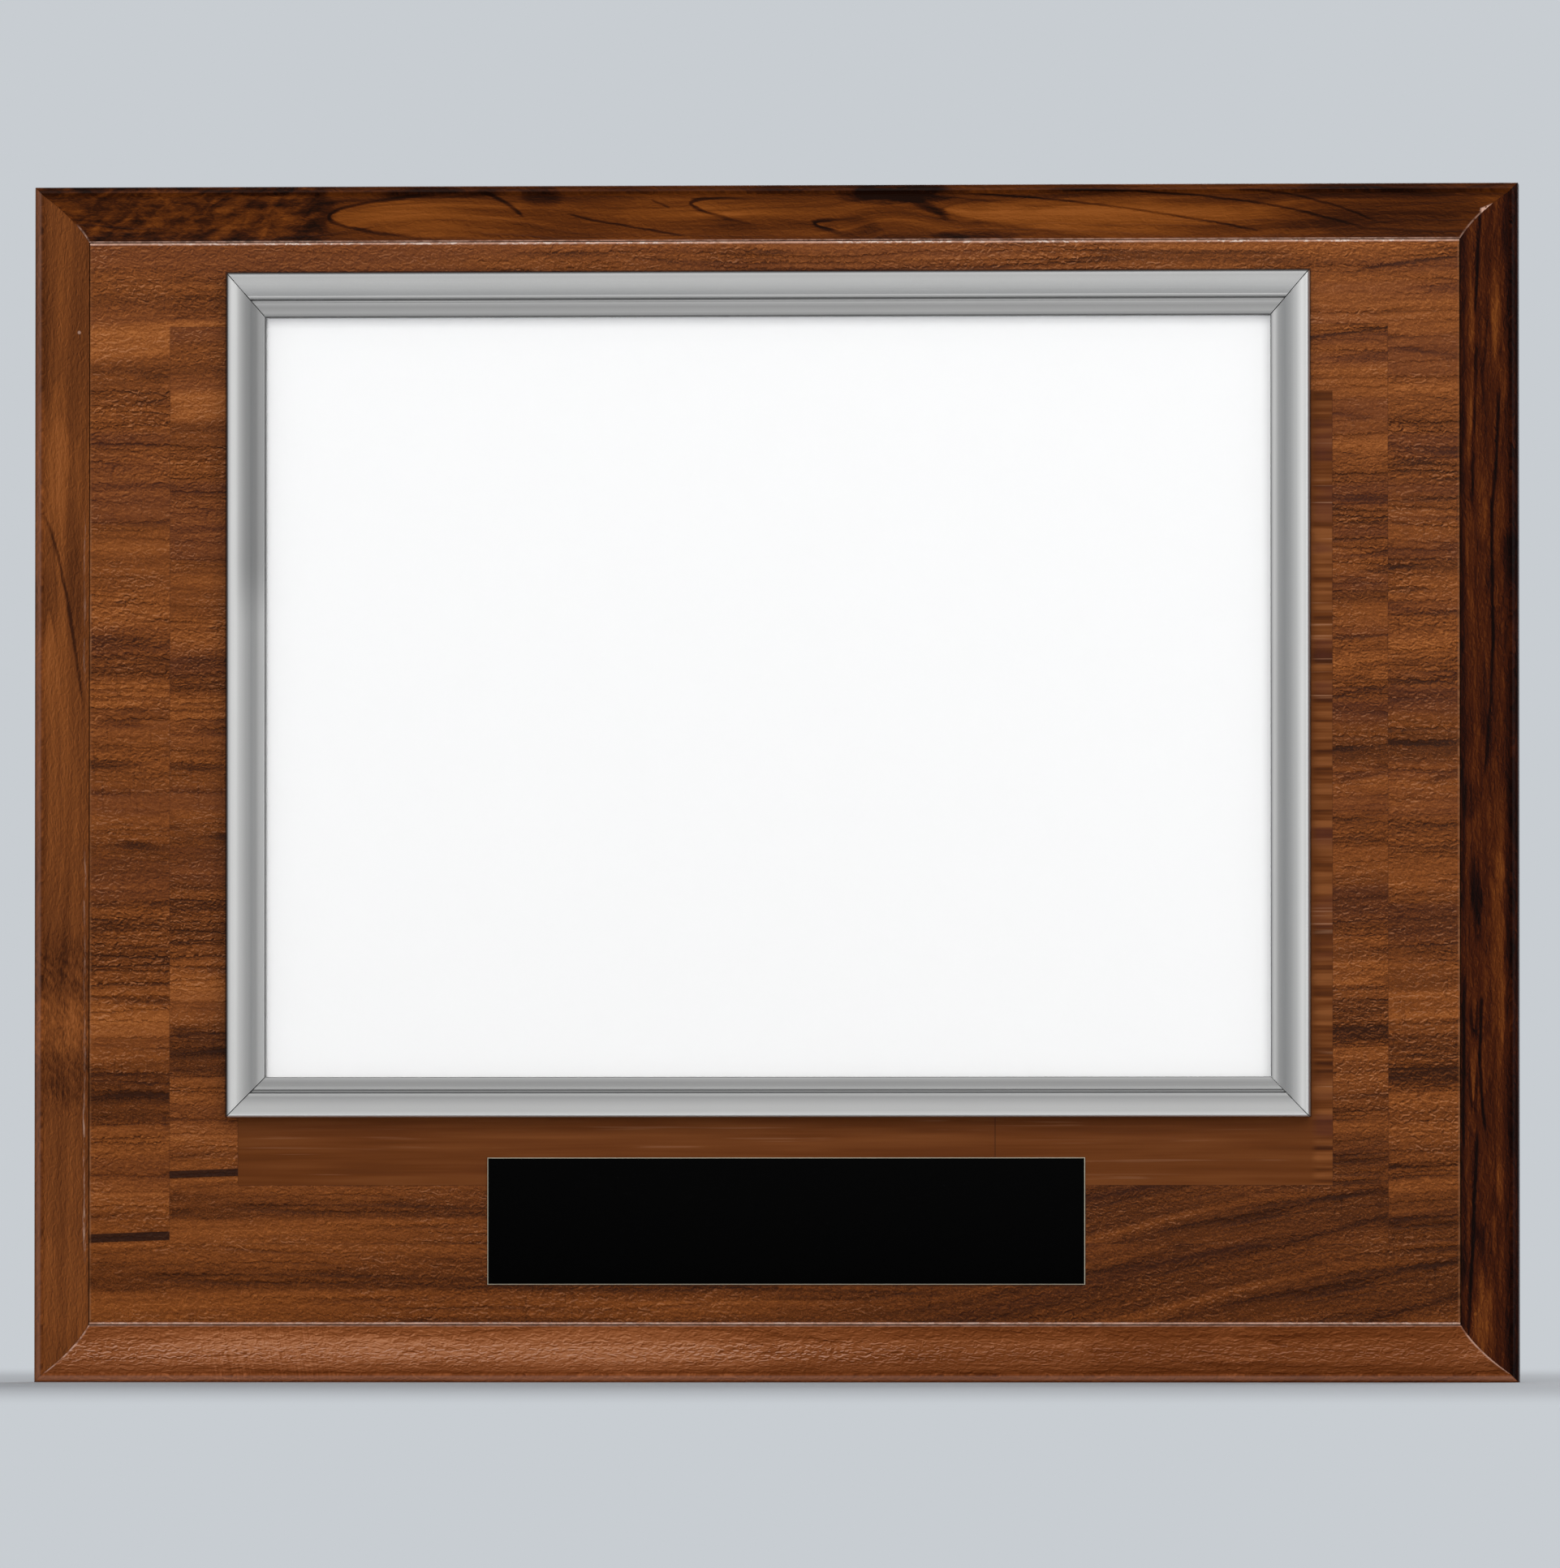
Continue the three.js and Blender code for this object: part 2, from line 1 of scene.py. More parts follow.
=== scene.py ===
import math
import bmesh
import bpy
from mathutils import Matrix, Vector


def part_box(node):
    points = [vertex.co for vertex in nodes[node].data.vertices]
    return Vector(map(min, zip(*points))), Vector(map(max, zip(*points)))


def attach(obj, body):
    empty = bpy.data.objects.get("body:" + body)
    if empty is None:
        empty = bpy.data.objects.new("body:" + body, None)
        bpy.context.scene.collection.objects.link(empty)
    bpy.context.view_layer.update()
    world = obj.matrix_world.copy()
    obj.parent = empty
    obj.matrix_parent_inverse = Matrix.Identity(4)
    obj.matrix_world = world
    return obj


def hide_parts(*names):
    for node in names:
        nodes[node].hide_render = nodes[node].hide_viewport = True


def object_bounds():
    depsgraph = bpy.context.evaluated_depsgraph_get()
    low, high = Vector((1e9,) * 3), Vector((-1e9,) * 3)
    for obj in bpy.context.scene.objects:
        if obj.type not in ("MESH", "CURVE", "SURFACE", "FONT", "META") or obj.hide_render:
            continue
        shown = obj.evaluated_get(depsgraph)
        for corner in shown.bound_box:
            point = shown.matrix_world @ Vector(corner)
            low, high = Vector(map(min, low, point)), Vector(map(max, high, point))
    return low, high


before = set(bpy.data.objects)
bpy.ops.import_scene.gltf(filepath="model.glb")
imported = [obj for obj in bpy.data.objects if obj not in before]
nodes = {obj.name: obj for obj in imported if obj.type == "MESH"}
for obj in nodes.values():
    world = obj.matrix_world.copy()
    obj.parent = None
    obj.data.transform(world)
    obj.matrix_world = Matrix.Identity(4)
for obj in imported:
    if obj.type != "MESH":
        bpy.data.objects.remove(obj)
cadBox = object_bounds()
mm = 0.001
weldDistance = 0.002 * mm
print("frame loaded:", len(nodes), "nodes")


# Modelling helpers

def deselect():
    bpy.ops.object.select_all(action="DESELECT")


def startPiece(name):
    # opens the primitive just added in edit mode
    piece = bpy.context.object
    piece.name = piece.data.name = name
    bpy.ops.object.mode_set(mode="EDIT")
    bpy.ops.mesh.select_mode(type="VERT")
    return piece


def pick(test, among=False):
    # selects the vertices whose place passes the test, or keeps only those of the selected ones
    mesh = bpy.context.edit_object.data
    cage = bmesh.from_edit_mesh(mesh)
    for vert in cage.verts:
        vert.select = bool(test(vert.co)) and (vert.select or not among)
    cage.select_flush_mode()
    bmesh.update_edit_mesh(mesh)


def choose(piece):
    # makes a piece the one that operators work on
    deselect()
    piece.select_set(True)
    bpy.context.view_layer.objects.active = piece


def pickAll():
    bpy.ops.mesh.select_all(action="SELECT")


def weld():
    pickAll()
    bpy.ops.mesh.remove_doubles(threshold=weldDistance)


def push(value):
    bpy.ops.mesh.extrude_region_move(TRANSFORM_OT_translate={"value": value})


def shift(value):
    bpy.ops.transform.translate(value=value)


def scale(value, middle=(0, 0, 0)):
    bpy.ops.transform.resize(value=value, center_override=middle)


def closePiece(piece, smoothAngle=35):
    weld()
    bpy.ops.mesh.normals_make_consistent()
    bpy.ops.object.mode_set(mode="OBJECT")
    choose(piece)
    bpy.ops.object.transform_apply()
    bpy.ops.object.shade_smooth_by_angle(angle=math.radians(smoothAngle))
    return piece


def place(piece, x=0, y=0, z=0, turn=0):
    # moves a finished piece, in mm, and keeps its place in its mesh
    choose(piece)
    piece.rotation_euler.y = turn
    piece.location = Vector((x, y, z)) * mm
    bpy.ops.object.transform_apply()
    return piece


def copyPiece(piece, name):
    made = piece.copy()
    made.data = piece.data.copy()
    made.name = made.data.name = name
    bpy.context.scene.collection.objects.link(made)
    return made


def carve(piece, cutter):
    bpy.ops.object.mode_set(mode="OBJECT")
    choose(piece)
    bpy.ops.object.modifier_add(type="BOOLEAN")
    cut = piece.modifiers[-1]
    cut.operation = "DIFFERENCE"
    cut.solver = "EXACT"
    cut.object = cutter
    bpy.ops.object.modifier_apply(modifier=cut.name)
    bpy.data.objects.remove(cutter)


def startCutter(width, depth, height):
    # a block to cut with, in mm, open in edit mode
    deselect()
    bpy.ops.mesh.primitive_cube_add(size=1)
    cutter = startPiece("cutter")
    pickAll()
    scale((width * mm, depth * mm, height * mm))
    return cutter


def nodesOf(prefix):
    return [name for name in nodes if name.startswith(prefix)]


def middleOf(name):
    low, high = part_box(name)
    return (low + high) / 2


def arc(middle, radius, first, last, steps):
    # points of an arc, its angles in degrees
    turns = [math.radians(first + (last - first) * i / steps) for i in range(steps + 1)]
    return [(middle[0] + radius * math.cos(a), middle[1] + radius * math.sin(a)) for a in turns]


def easeEdge(radius, steps, width, length, start, way):
    # rounds the edge of the picked face, or bevels it in one step, from a place on Y either way
    level, inset = 0, 0
    for across, rise in arc((0, 0), radius, 0, 90, steps)[1:]:
        nextInset = radius - across
        push((0, way * (rise - level), 0))
        scale(((width - 2 * nextInset) / (width - 2 * inset), 1,
               (length - 2 * nextInset) / (length - 2 * inset)), start + Vector((0, way * rise, 0)))
        level, inset = rise, nextInset


def easedSheet(name, low, high, ease, steps):
    # a flat sheet with its front edge eased, open in edit mode
    deselect()
    bpy.ops.mesh.primitive_plane_add(size=1, rotation=(math.pi / 2, 0, 0))
    bpy.ops.object.transform_apply()
    piece = startPiece(name)
    middle, width, length = (low + high) / 2, high.x - low.x, high.z - low.z
    pickAll()
    scale((width, 1, length))
    shift((middle.x, high.y, middle.z))
    push((0, low.y + ease - high.y, 0))
    easeEdge(ease, steps, width, length, Vector((middle.x, low.y + ease, middle.z)), -1)
    return piece


def sweep(start, control, end, steps):
    # points of a quadratic curve
    made = []
    for t in [i / steps for i in range(steps + 1)]:
        weights = ((1 - t) ** 2, 2 * t * (1 - t), t * t)
        made.append(tuple(sum(w * p[i] for w, p in zip(weights, (start, control, end))) for i in (0, 1)))
    return made


def traceLoop(loop, spans):
    # draws a closed section, each point of which is a line along X from one end to the other
    startX, endX, spot = -1, 1, Vector((0, -1, 0))
    steps = list(zip(loop, spans))
    for index, ((inward, height), (first, last)) in enumerate(steps + steps[:1]):
        goal = Vector(((first + last) / 2, -height, inward)) * mm
        move = push if index else shift
        move(goal - spot)
        stretch = (last - first) * mm / (endX - startX)
        scale((stretch, 1, 1), goal)
        startX, endX, spot = first * mm, last * mm, goal


def drawBar(name, loops, spansOf):
    # a bar along X whose outer edge is on the origin, with its section drawn inwards and upwards
    deselect()
    for index, loop in enumerate(loops):
        bpy.ops.mesh.primitive_plane_add(size=2)
        if index == 0:
            piece = startPiece(name)
        pick(lambda p: p.y > 0.5)
        bpy.ops.mesh.delete(type="VERT")
        pick(lambda p: p.y < -0.5)
        traceLoop(loop, [spansOf(point) for point in loop])
    weld()
    for end in (-1, 1):
        bpy.ops.mesh.select_all(action="DESELECT")
        bpy.ops.mesh.select_non_manifold()
        pick(lambda p: p.x * end >= 0, among=True)
        bpy.ops.mesh.fill()
    return closePiece(piece)


# Sides of a rectangle: the turn that takes a bar there from the bottom, and where it starts and ends
sides = {
    "bottom": (0, "left", "right"), "right": (-math.pi / 2, "bottom", "top"),
    "top": (math.pi, "right", "left"), "left": (math.pi / 2, "top", "bottom"),
}
upright = ("left", "right")


def outline(prefix):
    # the rectangle round the nodes of four sides, in mm
    boxes = [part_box(prefix + side) for side in sides]
    low = [min(b[0][i] for b in boxes) / mm for i in range(3)]
    high = [max(b[1][i] for b in boxes) / mm for i in range(3)]
    return {"left": low[0], "bottom": low[2], "right": high[0], "top": high[2]}


def layOnSide(piece, rectangle, side, height):
    x = (rectangle["left"] + rectangle["right"]) / 2
    z = (rectangle["bottom"] + rectangle["top"]) / 2
    if side in upright:
        x = rectangle[side]
    else:
        z = rectangle[side]
    return place(piece, x, -height, z, sides[side][0])


def halfSide(rectangle, side):
    if side in upright:
        return (rectangle["top"] - rectangle["bottom"]) / 2
    return (rectangle["right"] - rectangle["left"]) / 2


# Edge mouldings
moulding = {
    "width": 14.6, "wall": 12.5, "beadRadius": 1.1, "beadWidth": 1.7, "beadSoft": 0.2, "quirk": 0.5,
    "bevelTop": 18.45, "bulge": {"bottom": 0.65, "right": 0.1, "top": 0.65, "left": 0.1},
    "tongue": (7.5, 11.5), "tongueEnd": 18.6, "backRound": 0.5, "mitreGap": 0.03,
}
board = outline("edge_")


def bevelEnds():
    foot = (moulding["beadWidth"] + moulding["quirk"], moulding["wall"] - moulding["quirk"])
    return foot, (moulding["width"], moulding["bevelTop"])


def bevelControl(side):
    foot, top = bevelEnds()
    run, rise = top[0] - foot[0], top[1] - foot[1]
    reach = 2 * moulding["bulge"][side] / math.hypot(run, rise)
    return ((foot[0] + top[0]) / 2 - rise * reach, (foot[1] + top[1]) / 2 + run * reach)


def bevelInset(side, height):
    # how far in a bevel reaches a height
    foot, top = bevelEnds()
    control = bevelControl(side)
    a = foot[1] - 2 * control[1] + top[1]
    b = 2 * (control[1] - foot[1])
    c = foot[1] - height
    t = 2 * c / (-b - math.sqrt(b * b - 4 * a * c))
    return (1 - t) ** 2 * foot[0] + 2 * t * (1 - t) * control[0] + t * t * top[0]


def mouldingLoop(side):
    foot, top = bevelEnds()
    bead, wall, width = moulding["beadRadius"], moulding["wall"], moulding["width"]
    low, high = moulding["tongue"]
    back, soft = moulding["backRound"], moulding["beadSoft"]
    loop = arc((back, back), back, 270, 180, 4)
    loop += arc((bead, wall - bead), bead, 180, 90, 8)
    loop += arc((moulding["beadWidth"] - soft, wall - soft), soft, 90, 0, 3)
    loop += sweep(foot, bevelControl(side), top, 16)
    loop += [(width, high), (moulding["tongueEnd"], high), (moulding["tongueEnd"], low)]
    loop += [(width, low), (width, 0)]
    return loop


def mouldingPieces():
    made = {}
    foot, top = bevelEnds()
    for side, (_, start, _) in sides.items():
        half = halfSide(board, side)

        def spans(point):
            inward, height = point
            cutBack = inward
            if foot[0] < inward < top[0] - 1e-6 and height > foot[1]:
                cutBack = bevelInset(start, height)
            reach = half - moulding["mitreGap"] - cutBack
            return -reach, reach

        piece = drawBar("edgeMoulding_" + side, [mouldingLoop(side)], spans)
        made[side] = layOnSide(piece, board, side, 0)
    return made


# Face sheet with its rounded arris
faceSheet = {"round": 0.45, "holeDiameter": 3.2, "holeDepth": 6}


def faceSheetPiece():
    low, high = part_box("face_sheet")
    piece = closePiece(easedSheet("faceSheet", low, high, faceSheet["round"] * mm, 5), 50)
    for name in nodesOf("frame_screw_"):
        spot = middleOf(name)
        deselect()
        bpy.ops.mesh.primitive_cylinder_add(
            vertices=32, radius=faceSheet["holeDiameter"] / 2 * mm, depth=faceSheet["holeDepth"] * mm,
            location=(spot.x, low.y, spot.z), rotation=(math.pi / 2, 0, 0))
        carve(piece, bpy.context.object)
    return piece


# Silver rails
rail = {
    "face": {"bottom": 10.2, "right": 9.9, "top": 11.4, "left": 9.9},
    "leg": 5, "slotHeight": 3.4, "slotWidth": 267.3, "mitreGap": 0.15, "corner": 6.9,
    "chamber": (1.3, 3.9, 5.7), "chamberWidth": 3.4, "lipEdge": 6.2, "lipRound": 0.5,
    # top and bottom rails: the crown falls to a narrow ridge, a groove and a flat lip
    "crown": [((0.055, 7.8), (0.32, 7.8), (0.52, 7.02)), ((0.52, 7.02), (0.555, 7), (0.585, 6.93)),
              ((0.585, 6.93), (0.61, 6.7), (0.622, 6.3)), ((0.622, 6.3), (0.64, 6.16), (0.658, 6.22)),
              ((0.658, 6.22), (0.68, 6.36), (0.71, 6.36))],
    # side rails: one smooth hollow down to the opening
    "hollow": [((0.055, 7.8), (0.36, 7.8), (0.6, 6.85)), ((0.6, 6.85), (0.8, 5.9), (0.95, 6.2))],
}
railFrame = outline("rail_")
faceLevel = -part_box("rail_bottom")[1].y / mm


def railLoops(side):
    width = rail["face"][side]
    curves = rail["hollow"] if side in upright else rail["crown"]
    crestX, crestY = curves[0][0][0] * width, curves[0][0][1]
    chamberStart, chamberLow, chamberHigh = rail["chamber"]
    lipEdge, lipRound = rail["lipEdge"], rail["lipRound"]
    loop = [(0, 0)]
    loop += sweep((0, rail["corner"]), (0, crestY), (crestX, crestY), 8)
    for curve in curves:
        points = [(share * width, level) for share, level in curve]
        loop += sweep(*points, 12)[1:]
    loop += sweep((width - lipRound, lipEdge), (width, lipEdge), (width, lipEdge - lipRound), 5)
    loop += [(width, rail["slotHeight"]), (rail["leg"], rail["slotHeight"]), (rail["leg"], 0)]
    chamberEnd = (chamberStart + rail["chamberWidth"]) * width / min(rail["face"].values())
    chamber = [(chamberStart, chamberLow), (chamberEnd, chamberLow)]
    chamber += [(chamberEnd, chamberHigh), (chamberStart, chamberHigh)]
    return [loop, chamber]


def railPieces():
    made = {}
    for side, (_, start, end) in sides.items():
        width = rail["face"][side]
        reach = halfSide(railFrame, side) - rail["mitreGap"]
        startSlope, endSlope = rail["face"][start] / width, rail["face"][end] / width

        def spans(point):
            return point[0] * startSlope - reach, reach - point[0] * endSlope

        piece = drawBar("silverRail_" + side, railLoops(side), spans)
        if side == "top":
            cutter = startCutter(rail["slotWidth"], 2 * rail["slotHeight"], 4 * rail["leg"])
            carve(piece, cutter)
        made[side] = layOnSide(piece, railFrame, side, faceLevel)
    return made


# Engraving plate with a bright bevel
plate = {"ease": 0.2, "softCorner": 0.04}


def engravingPlatePiece():
    piece = easedSheet("engravingPlate", *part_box("engraving_plate"), plate["ease"] * mm, 1)
    bpy.ops.mesh.bevel(offset=plate["softCorner"] * mm, segments=2)
    return closePiece(piece, 20)


# Screws and hanger on the back; heights are from the back towards the front
frameScrew = {
    "head": [(0, 6.1), (1.2, 6.14), (2, 6.42), (2.48, 6.95), (2.6, 7.4), (2.6, 7.9)],
    "radius": 1.3, "root": 1, "threadStart": 8.6, "pitch": 1.05, "turns": 11, "tip": 22.2,
    "recess": (3, 0.8, 6.1, 1),
}
hangerScrew = {
    "head": [(0, 0.1), (2.72, 0.1), (2.8, 0.18), (1.4, 1.5)],
    "radius": 1.4, "root": 1.05, "threadStart": 2.2, "pitch": 1, "turns": 7, "tip": 12,
    "recess": (3, 0.8, 0.1, 0.9),
}
hanger = {
    "edgeRound": 0.3, "entry": 9.2, "entryDrop": 5, "slot": 4.8, "slotRise": 5.5,
    "screwReach": 17, "hole": 3.4, "mouth": 6.2, "cutPast": 2,
}
recessFloor = (0.6, 1, 0.7)  # what a recess keeps of its mouth's size
threadRunIn = 0.3


def turnPiece(name, profile, steps=36):
    # spins a profile of radii and heights about the Y axis
    deselect()
    bpy.ops.mesh.primitive_plane_add(size=2)
    piece = startPiece(name)
    pick(lambda p: p.x < 0 or p.y < 0)
    bpy.ops.mesh.delete(type="VERT")
    pickAll()
    spot = Vector((1, 1, 0))
    for index, (radius, height) in enumerate(profile):
        goal = Vector((radius, -height, 0)) * mm
        if index == 0:
            shift(goal - spot)
        else:
            bpy.ops.mesh.extrude_vertices_move(TRANSFORM_OT_translate={"value": goal - spot})
        spot = goal
    pickAll()
    bpy.ops.mesh.spin(steps=steps, angle=2 * math.pi, center=(0, 0, 0), axis=(0, 1, 0))
    return closePiece(piece)


def cutCross(piece, width, slot, top, depth):
    # cross recess, narrower at its floor
    for turn in (0, math.pi / 2):
        cutter = startCutter(width, 2 * depth, slot)
        shift((0, -top * mm, 0))
        pick(lambda p: p.y < -top * mm)
        scale(recessFloor, (0, -(top + depth) * mm, 0))
        pickAll()
        bpy.ops.transform.rotate(value=turn, orient_axis="Y", center_override=(0, 0, 0))
        carve(piece, cutter)


def screwPiece(name, facts):
    profile = list(facts["head"])
    profile.append((facts["radius"], facts["threadStart"] - threadRunIn))
    if profile[-2][0] > facts["radius"]:
        profile.insert(-1, (facts["radius"], facts["head"][-1][1]))
    height = facts["threadStart"]
    for _ in range(facts["turns"]):
        profile += [(facts["root"], height), (facts["radius"], height + facts["pitch"] / 2)]
        height += facts["pitch"]
    profile += [(facts["root"], height), (0, facts["tip"])]
    piece = turnPiece(name, profile)
    cutCross(piece, *facts["recess"])
    return piece


def capsulePiece(name, width, length, low, high, edgeRound, points=56):
    # upright plate with round ends, from one height to another, rounded at the lower
    deselect()
    bpy.ops.mesh.primitive_circle_add(
        vertices=points, radius=width / 2 * mm, fill_type="NGON", rotation=(math.pi / 2, 0, 0))
    bpy.ops.object.transform_apply()
    piece = startPiece(name)
    pickAll()
    bpy.ops.transform.rotate(value=math.pi / points, orient_axis="Y", center_override=(0, 0, 0))
    for end in (-1, 1):
        pick(lambda p: p.z * end > 0)
        shift((0, 0, end * (length - width) / 2 * mm))
    pickAll()
    shift((0, -high * mm, 0))
    push((0, (high - low - edgeRound) * mm, 0))
    if edgeRound:
        start = Vector((0, -(low + edgeRound) * mm, 0))
        easeEdge(edgeRound * mm, 4, width * mm, length * mm, start, 1)
    return closePiece(piece, 40)


def hangerPiece():
    low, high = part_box("hanger_plate")
    middle = middleOf("hanger_plate") / mm
    width, thick, length = (high - low) / mm
    back = -high.y / mm
    piece = capsulePiece("hangerPlate", width, length, back, back + thick, hanger["edgeRound"])
    start, end = -hanger["cutPast"], thick + hanger["cutPast"]
    bottom, top = -hanger["entryDrop"], hanger["slotRise"]
    slot = capsulePiece("slotCutter", hanger["slot"], top - bottom + hanger["slot"], start, end, 0)
    carve(piece, place(slot, z=(bottom + top) / 2))
    entry, mouth, hole = hanger["entry"] / 2, hanger["mouth"] / 2, hanger["hole"] / 2
    bore = [(0, start), (entry, start), (entry, end), (0, end)]
    carve(piece, place(turnPiece("entryCutter", bore, 48), z=bottom))
    sink = [(0, -1), (mouth + 1, -1), (hole, mouth - hole), (hole, end), (0, end)]
    for way in (-1, 1):
        carve(piece, place(turnPiece("sinkCutter", sink, 48), z=way * hanger["screwReach"]))
    return place(piece, middle.x, 0, middle.z)


def hardwarePieces():
    # one screw of each kind is modelled, and the others are copies of it
    made = {"hanger_plate": hangerPiece()}
    for prefix, label, facts in (("frame_screw_", "frameScrew_", frameScrew),
                                 ("hanger_screw_", "hangerScrew_", hangerScrew)):
        pattern = screwPiece(label + "pattern", facts)
        for name in nodesOf(prefix):
            spot = middleOf(name) / mm
            made[name] = place(copyPiece(pattern, label + name[len(prefix):]), spot.x, 0, spot.z)
        bpy.data.objects.remove(pattern)
    return made


edges = mouldingPieces()
face = faceSheetPiece()
rails = railPieces()
namePlate = engravingPlatePiece()
hardware = hardwarePieces()
print("modelled:", len(edges) + len(rails) + len(hardware) + 2, "pieces")


# Shader wiring

class Wire:
    # a socket of a node tree; arithmetic on it adds Math nodes
    def __init__(self, tree, socket=None):
        self.tree = tree
        self.socket = socket

    def node(self, kind, values=None, settings=None, out=0):
        made = self.tree.nodes.new("ShaderNode" + kind)
        for key, value in (settings or {}).items():
            if key == "stops":
                ramp = made.color_ramp
                while len(ramp.elements) < len(value):
                    ramp.elements.new(0.5)
                for element, (spot, colour) in zip(ramp.elements, value):
                    element.position = spot
                    element.color = colour
            else:
                setattr(made, key, value)
        for key, value in (values or {}).items():
            if isinstance(value, Wire):
                self.tree.links.new(value.socket, made.inputs[key])
            else:
                made.inputs[key].default_value = value
        return Wire(self.tree, made.outputs[out] if made.outputs else None)

    def other(self, out):
        return Wire(self.tree, self.socket.node.outputs[out])

    def math(self, operation, *values):
        return self.node("Math", dict(enumerate(values)), {"operation": operation})

    def __neg__(self):
        return self.math("MULTIPLY", self, -1)

    def __abs__(self):
        return self.math("ABSOLUTE", self)

    def paired(operation, reflected=False):
        def apply(self, value):
            return self.math(operation, *((value, self) if reflected else (self, value)))
        return apply

    __add__ = __radd__ = paired("ADD")
    __mul__ = __rmul__ = paired("MULTIPLY")
    __sub__, __rsub__ = paired("SUBTRACT"), paired("SUBTRACT", True)
    __truediv__, __rtruediv__ = paired("DIVIDE"), paired("DIVIDE", True)


def paint(red, green, blue):
    # a screen colour, 0 to 255, as a linear one
    def linear(value):
        value /= 255
        return value / 12.92 if value <= 0.04045 else ((value + 0.055) / 1.055) ** 2.4
    return (linear(red), linear(green), linear(blue), 1)


def grey(value):
    return (value, value, value, 1)


def emptyTree(owner):
    owner.use_nodes = True
    owner.node_tree.nodes.clear()
    return Wire(owner.node_tree)


def surface(name):
    # a new finish, and the object's coordinates in mm
    finish = bpy.data.materials.new(name)
    w = emptyTree(finish)
    parts = w.node("SeparateXYZ", {0: w.node("TexCoord", out="Object")})
    return [finish] + [parts.other(i) * (1 / mm) for i in range(3)]


def coat(finish, colour, roughness, height, depth, specular=0.5, metallic=0):
    # the depth of the relief is in mm
    shader = height.node("BsdfPrincipled", {
        "Base Color": colour, "Roughness": roughness, "Normal": bump(height, depth),
        "Specular IOR Level": specular, "Metallic": metallic})
    height.node("OutputMaterial", {"Surface": shader})
    return finish


def vector(x, y, z):
    return x.node("CombineXYZ", {0: x, 1: y, 2: z})


def mixOut(share, first, second, kind="OutputMaterial"):
    mixed = share.node("MixShader", {0: share, 1: first, 2: second})
    share.node(kind, {"Surface": mixed})


def noise(x, z, across, tall, seed, detail=2, rough=0.5, warp=0):
    spot = vector(x / across, z / tall, seed)
    return spot.node("TexNoise", {
        "Vector": spot, "Scale": 1, "Detail": detail, "Roughness": rough, "Distortion": warp})


def relief(x, z, across, tall, seed):
    # a worm-like emboss: its height, and the painted shade and highlight it would have under a light
    # from above, which is added to colour
    look = (across, tall, seed, 1.5, 0.55, 1.1)
    height = noise(x, z, *look)
    return height, height - noise(x - 0.15, z + 0.35, *look)


def smooth(value, low, high, start=0, end=1):
    return value.node("MapRange", {0: value, 1: low, 2: high, 3: start, 4: end},
                      {"interpolation_type": "SMOOTHSTEP"})


def fade(value, low, high):
    return smooth(value, low, high, 1, 0)


def around(value, thin, wide):
    # 1 where a value is about 0
    return fade(abs(value), thin, wide)


def greatest(a, b):
    return a.math("MAXIMUM", a, b)


def above(value, limit):
    return value.math("GREATER_THAN", value, limit)


def below(value, limit):
    return value.math("LESS_THAN", value, limit)


def blend(base, top, share):
    return share.node("Mix", {0: share, 6: base, 7: top}, {"data_type": "RGBA"}, 2)


def ramp(value, stops):
    return value.node("ValToRGB", {0: value}, {"stops": stops})


def bump(height, depth):
    return height.node("Bump", {"Strength": 1, "Distance": depth * mm, "Height": height})


def hairline(field, thin, wide):
    # thin lines where a field crosses its middle
    return around(field - 0.5, thin, wide)


def palette(colours):
    last = len(colours) - 1
    return [(i / last, paint(*colour)) for i, colour in enumerate(colours)]


def placedBands(value, bands, reach):
    # 0.5, and lighter or darker in bands given by their middle, half height and lift
    stops = []
    for middle, half, lift in sorted(bands):
        soft, level = 0.25 * half, grey(0.5 + lift)
        for spot, colour in ((middle - half - soft, grey(0.5)), (middle - half + soft, level),
                             (middle + half - soft, level), (middle + half + soft, grey(0.5))):
            stops.append(((spot + reach) / (2 * reach), colour))
    return ramp((value + reach) / (2 * reach), stops)


def vein(along, across, path, wobble):
    # dark line of the grain: where it starts and ends, its bend, half width and strength
    startA, startB, endA, endB, bend, half, strength = path
    share = along.node("MapRange", {0: along, 1: startA, 2: endA})
    offset = across - share.math("POWER", share, bend) * (endB - startB) - startB
    near = around(offset + wobble, 0.1 * half, half)
    return near * smooth(share, 0, 0.12) * fade(share, 0.86, 1) * strength


def farFrom(along, across, middle, depth, reach, tall):
    # square of the distance from the middle of an ellipse, 1 at its edge
    spanA, spanB = (along - middle) / reach, (across - depth) / tall
    return spanA * spanA + spanB * spanB


def lens(along, across, spot, ragged):
    # patch with a soft ragged edge: middle, depth, reach along and across, and lift
    *ellipse, lift = spot
    far = farFrom(along, across, *ellipse)
    return fade(far.math("SQRT", far) + ragged, 0.5, 1.15) * lift


def tongue(along, across, spot, ragged):
    # flame of the grain, a parabola: its apex, reach, half height, fall, lift and dark outline
    apexA, apexB, reach, tall, fall, lift, dark = spot
    share = (along - apexA) / reach
    off = (across - apexB - share * fall) / tall
    slope = off * off * (4 / tall ** 2) + 1 / reach ** 2
    inside = (share - off * off) / slope.math("SQRT", slope) + ragged
    body = smooth(inside, -0.2, 0.9) * fade(share, 0.35, 1) * lift
    return body - around(inside, 0.12, 0.65) * fade(share, 0.12, 0.6) * dark


def beyond(x, z, left, bottom, right, top):
    # how far outside a rectangle, less than 0 inside it
    return greatest(abs(x - (left + right) / 2) - (right - left) / 2,
                    abs(z - (bottom + top) / 2) - (top - bottom) / 2)


def inwardFrom(rectangle, side, x, z):
    # the place along a side, and how far inwards from it
    along, across = (z, x) if side in upright else (x, z)
    edge = rectangle[side]
    return along, across - edge if side in ("left", "bottom") else edge - across


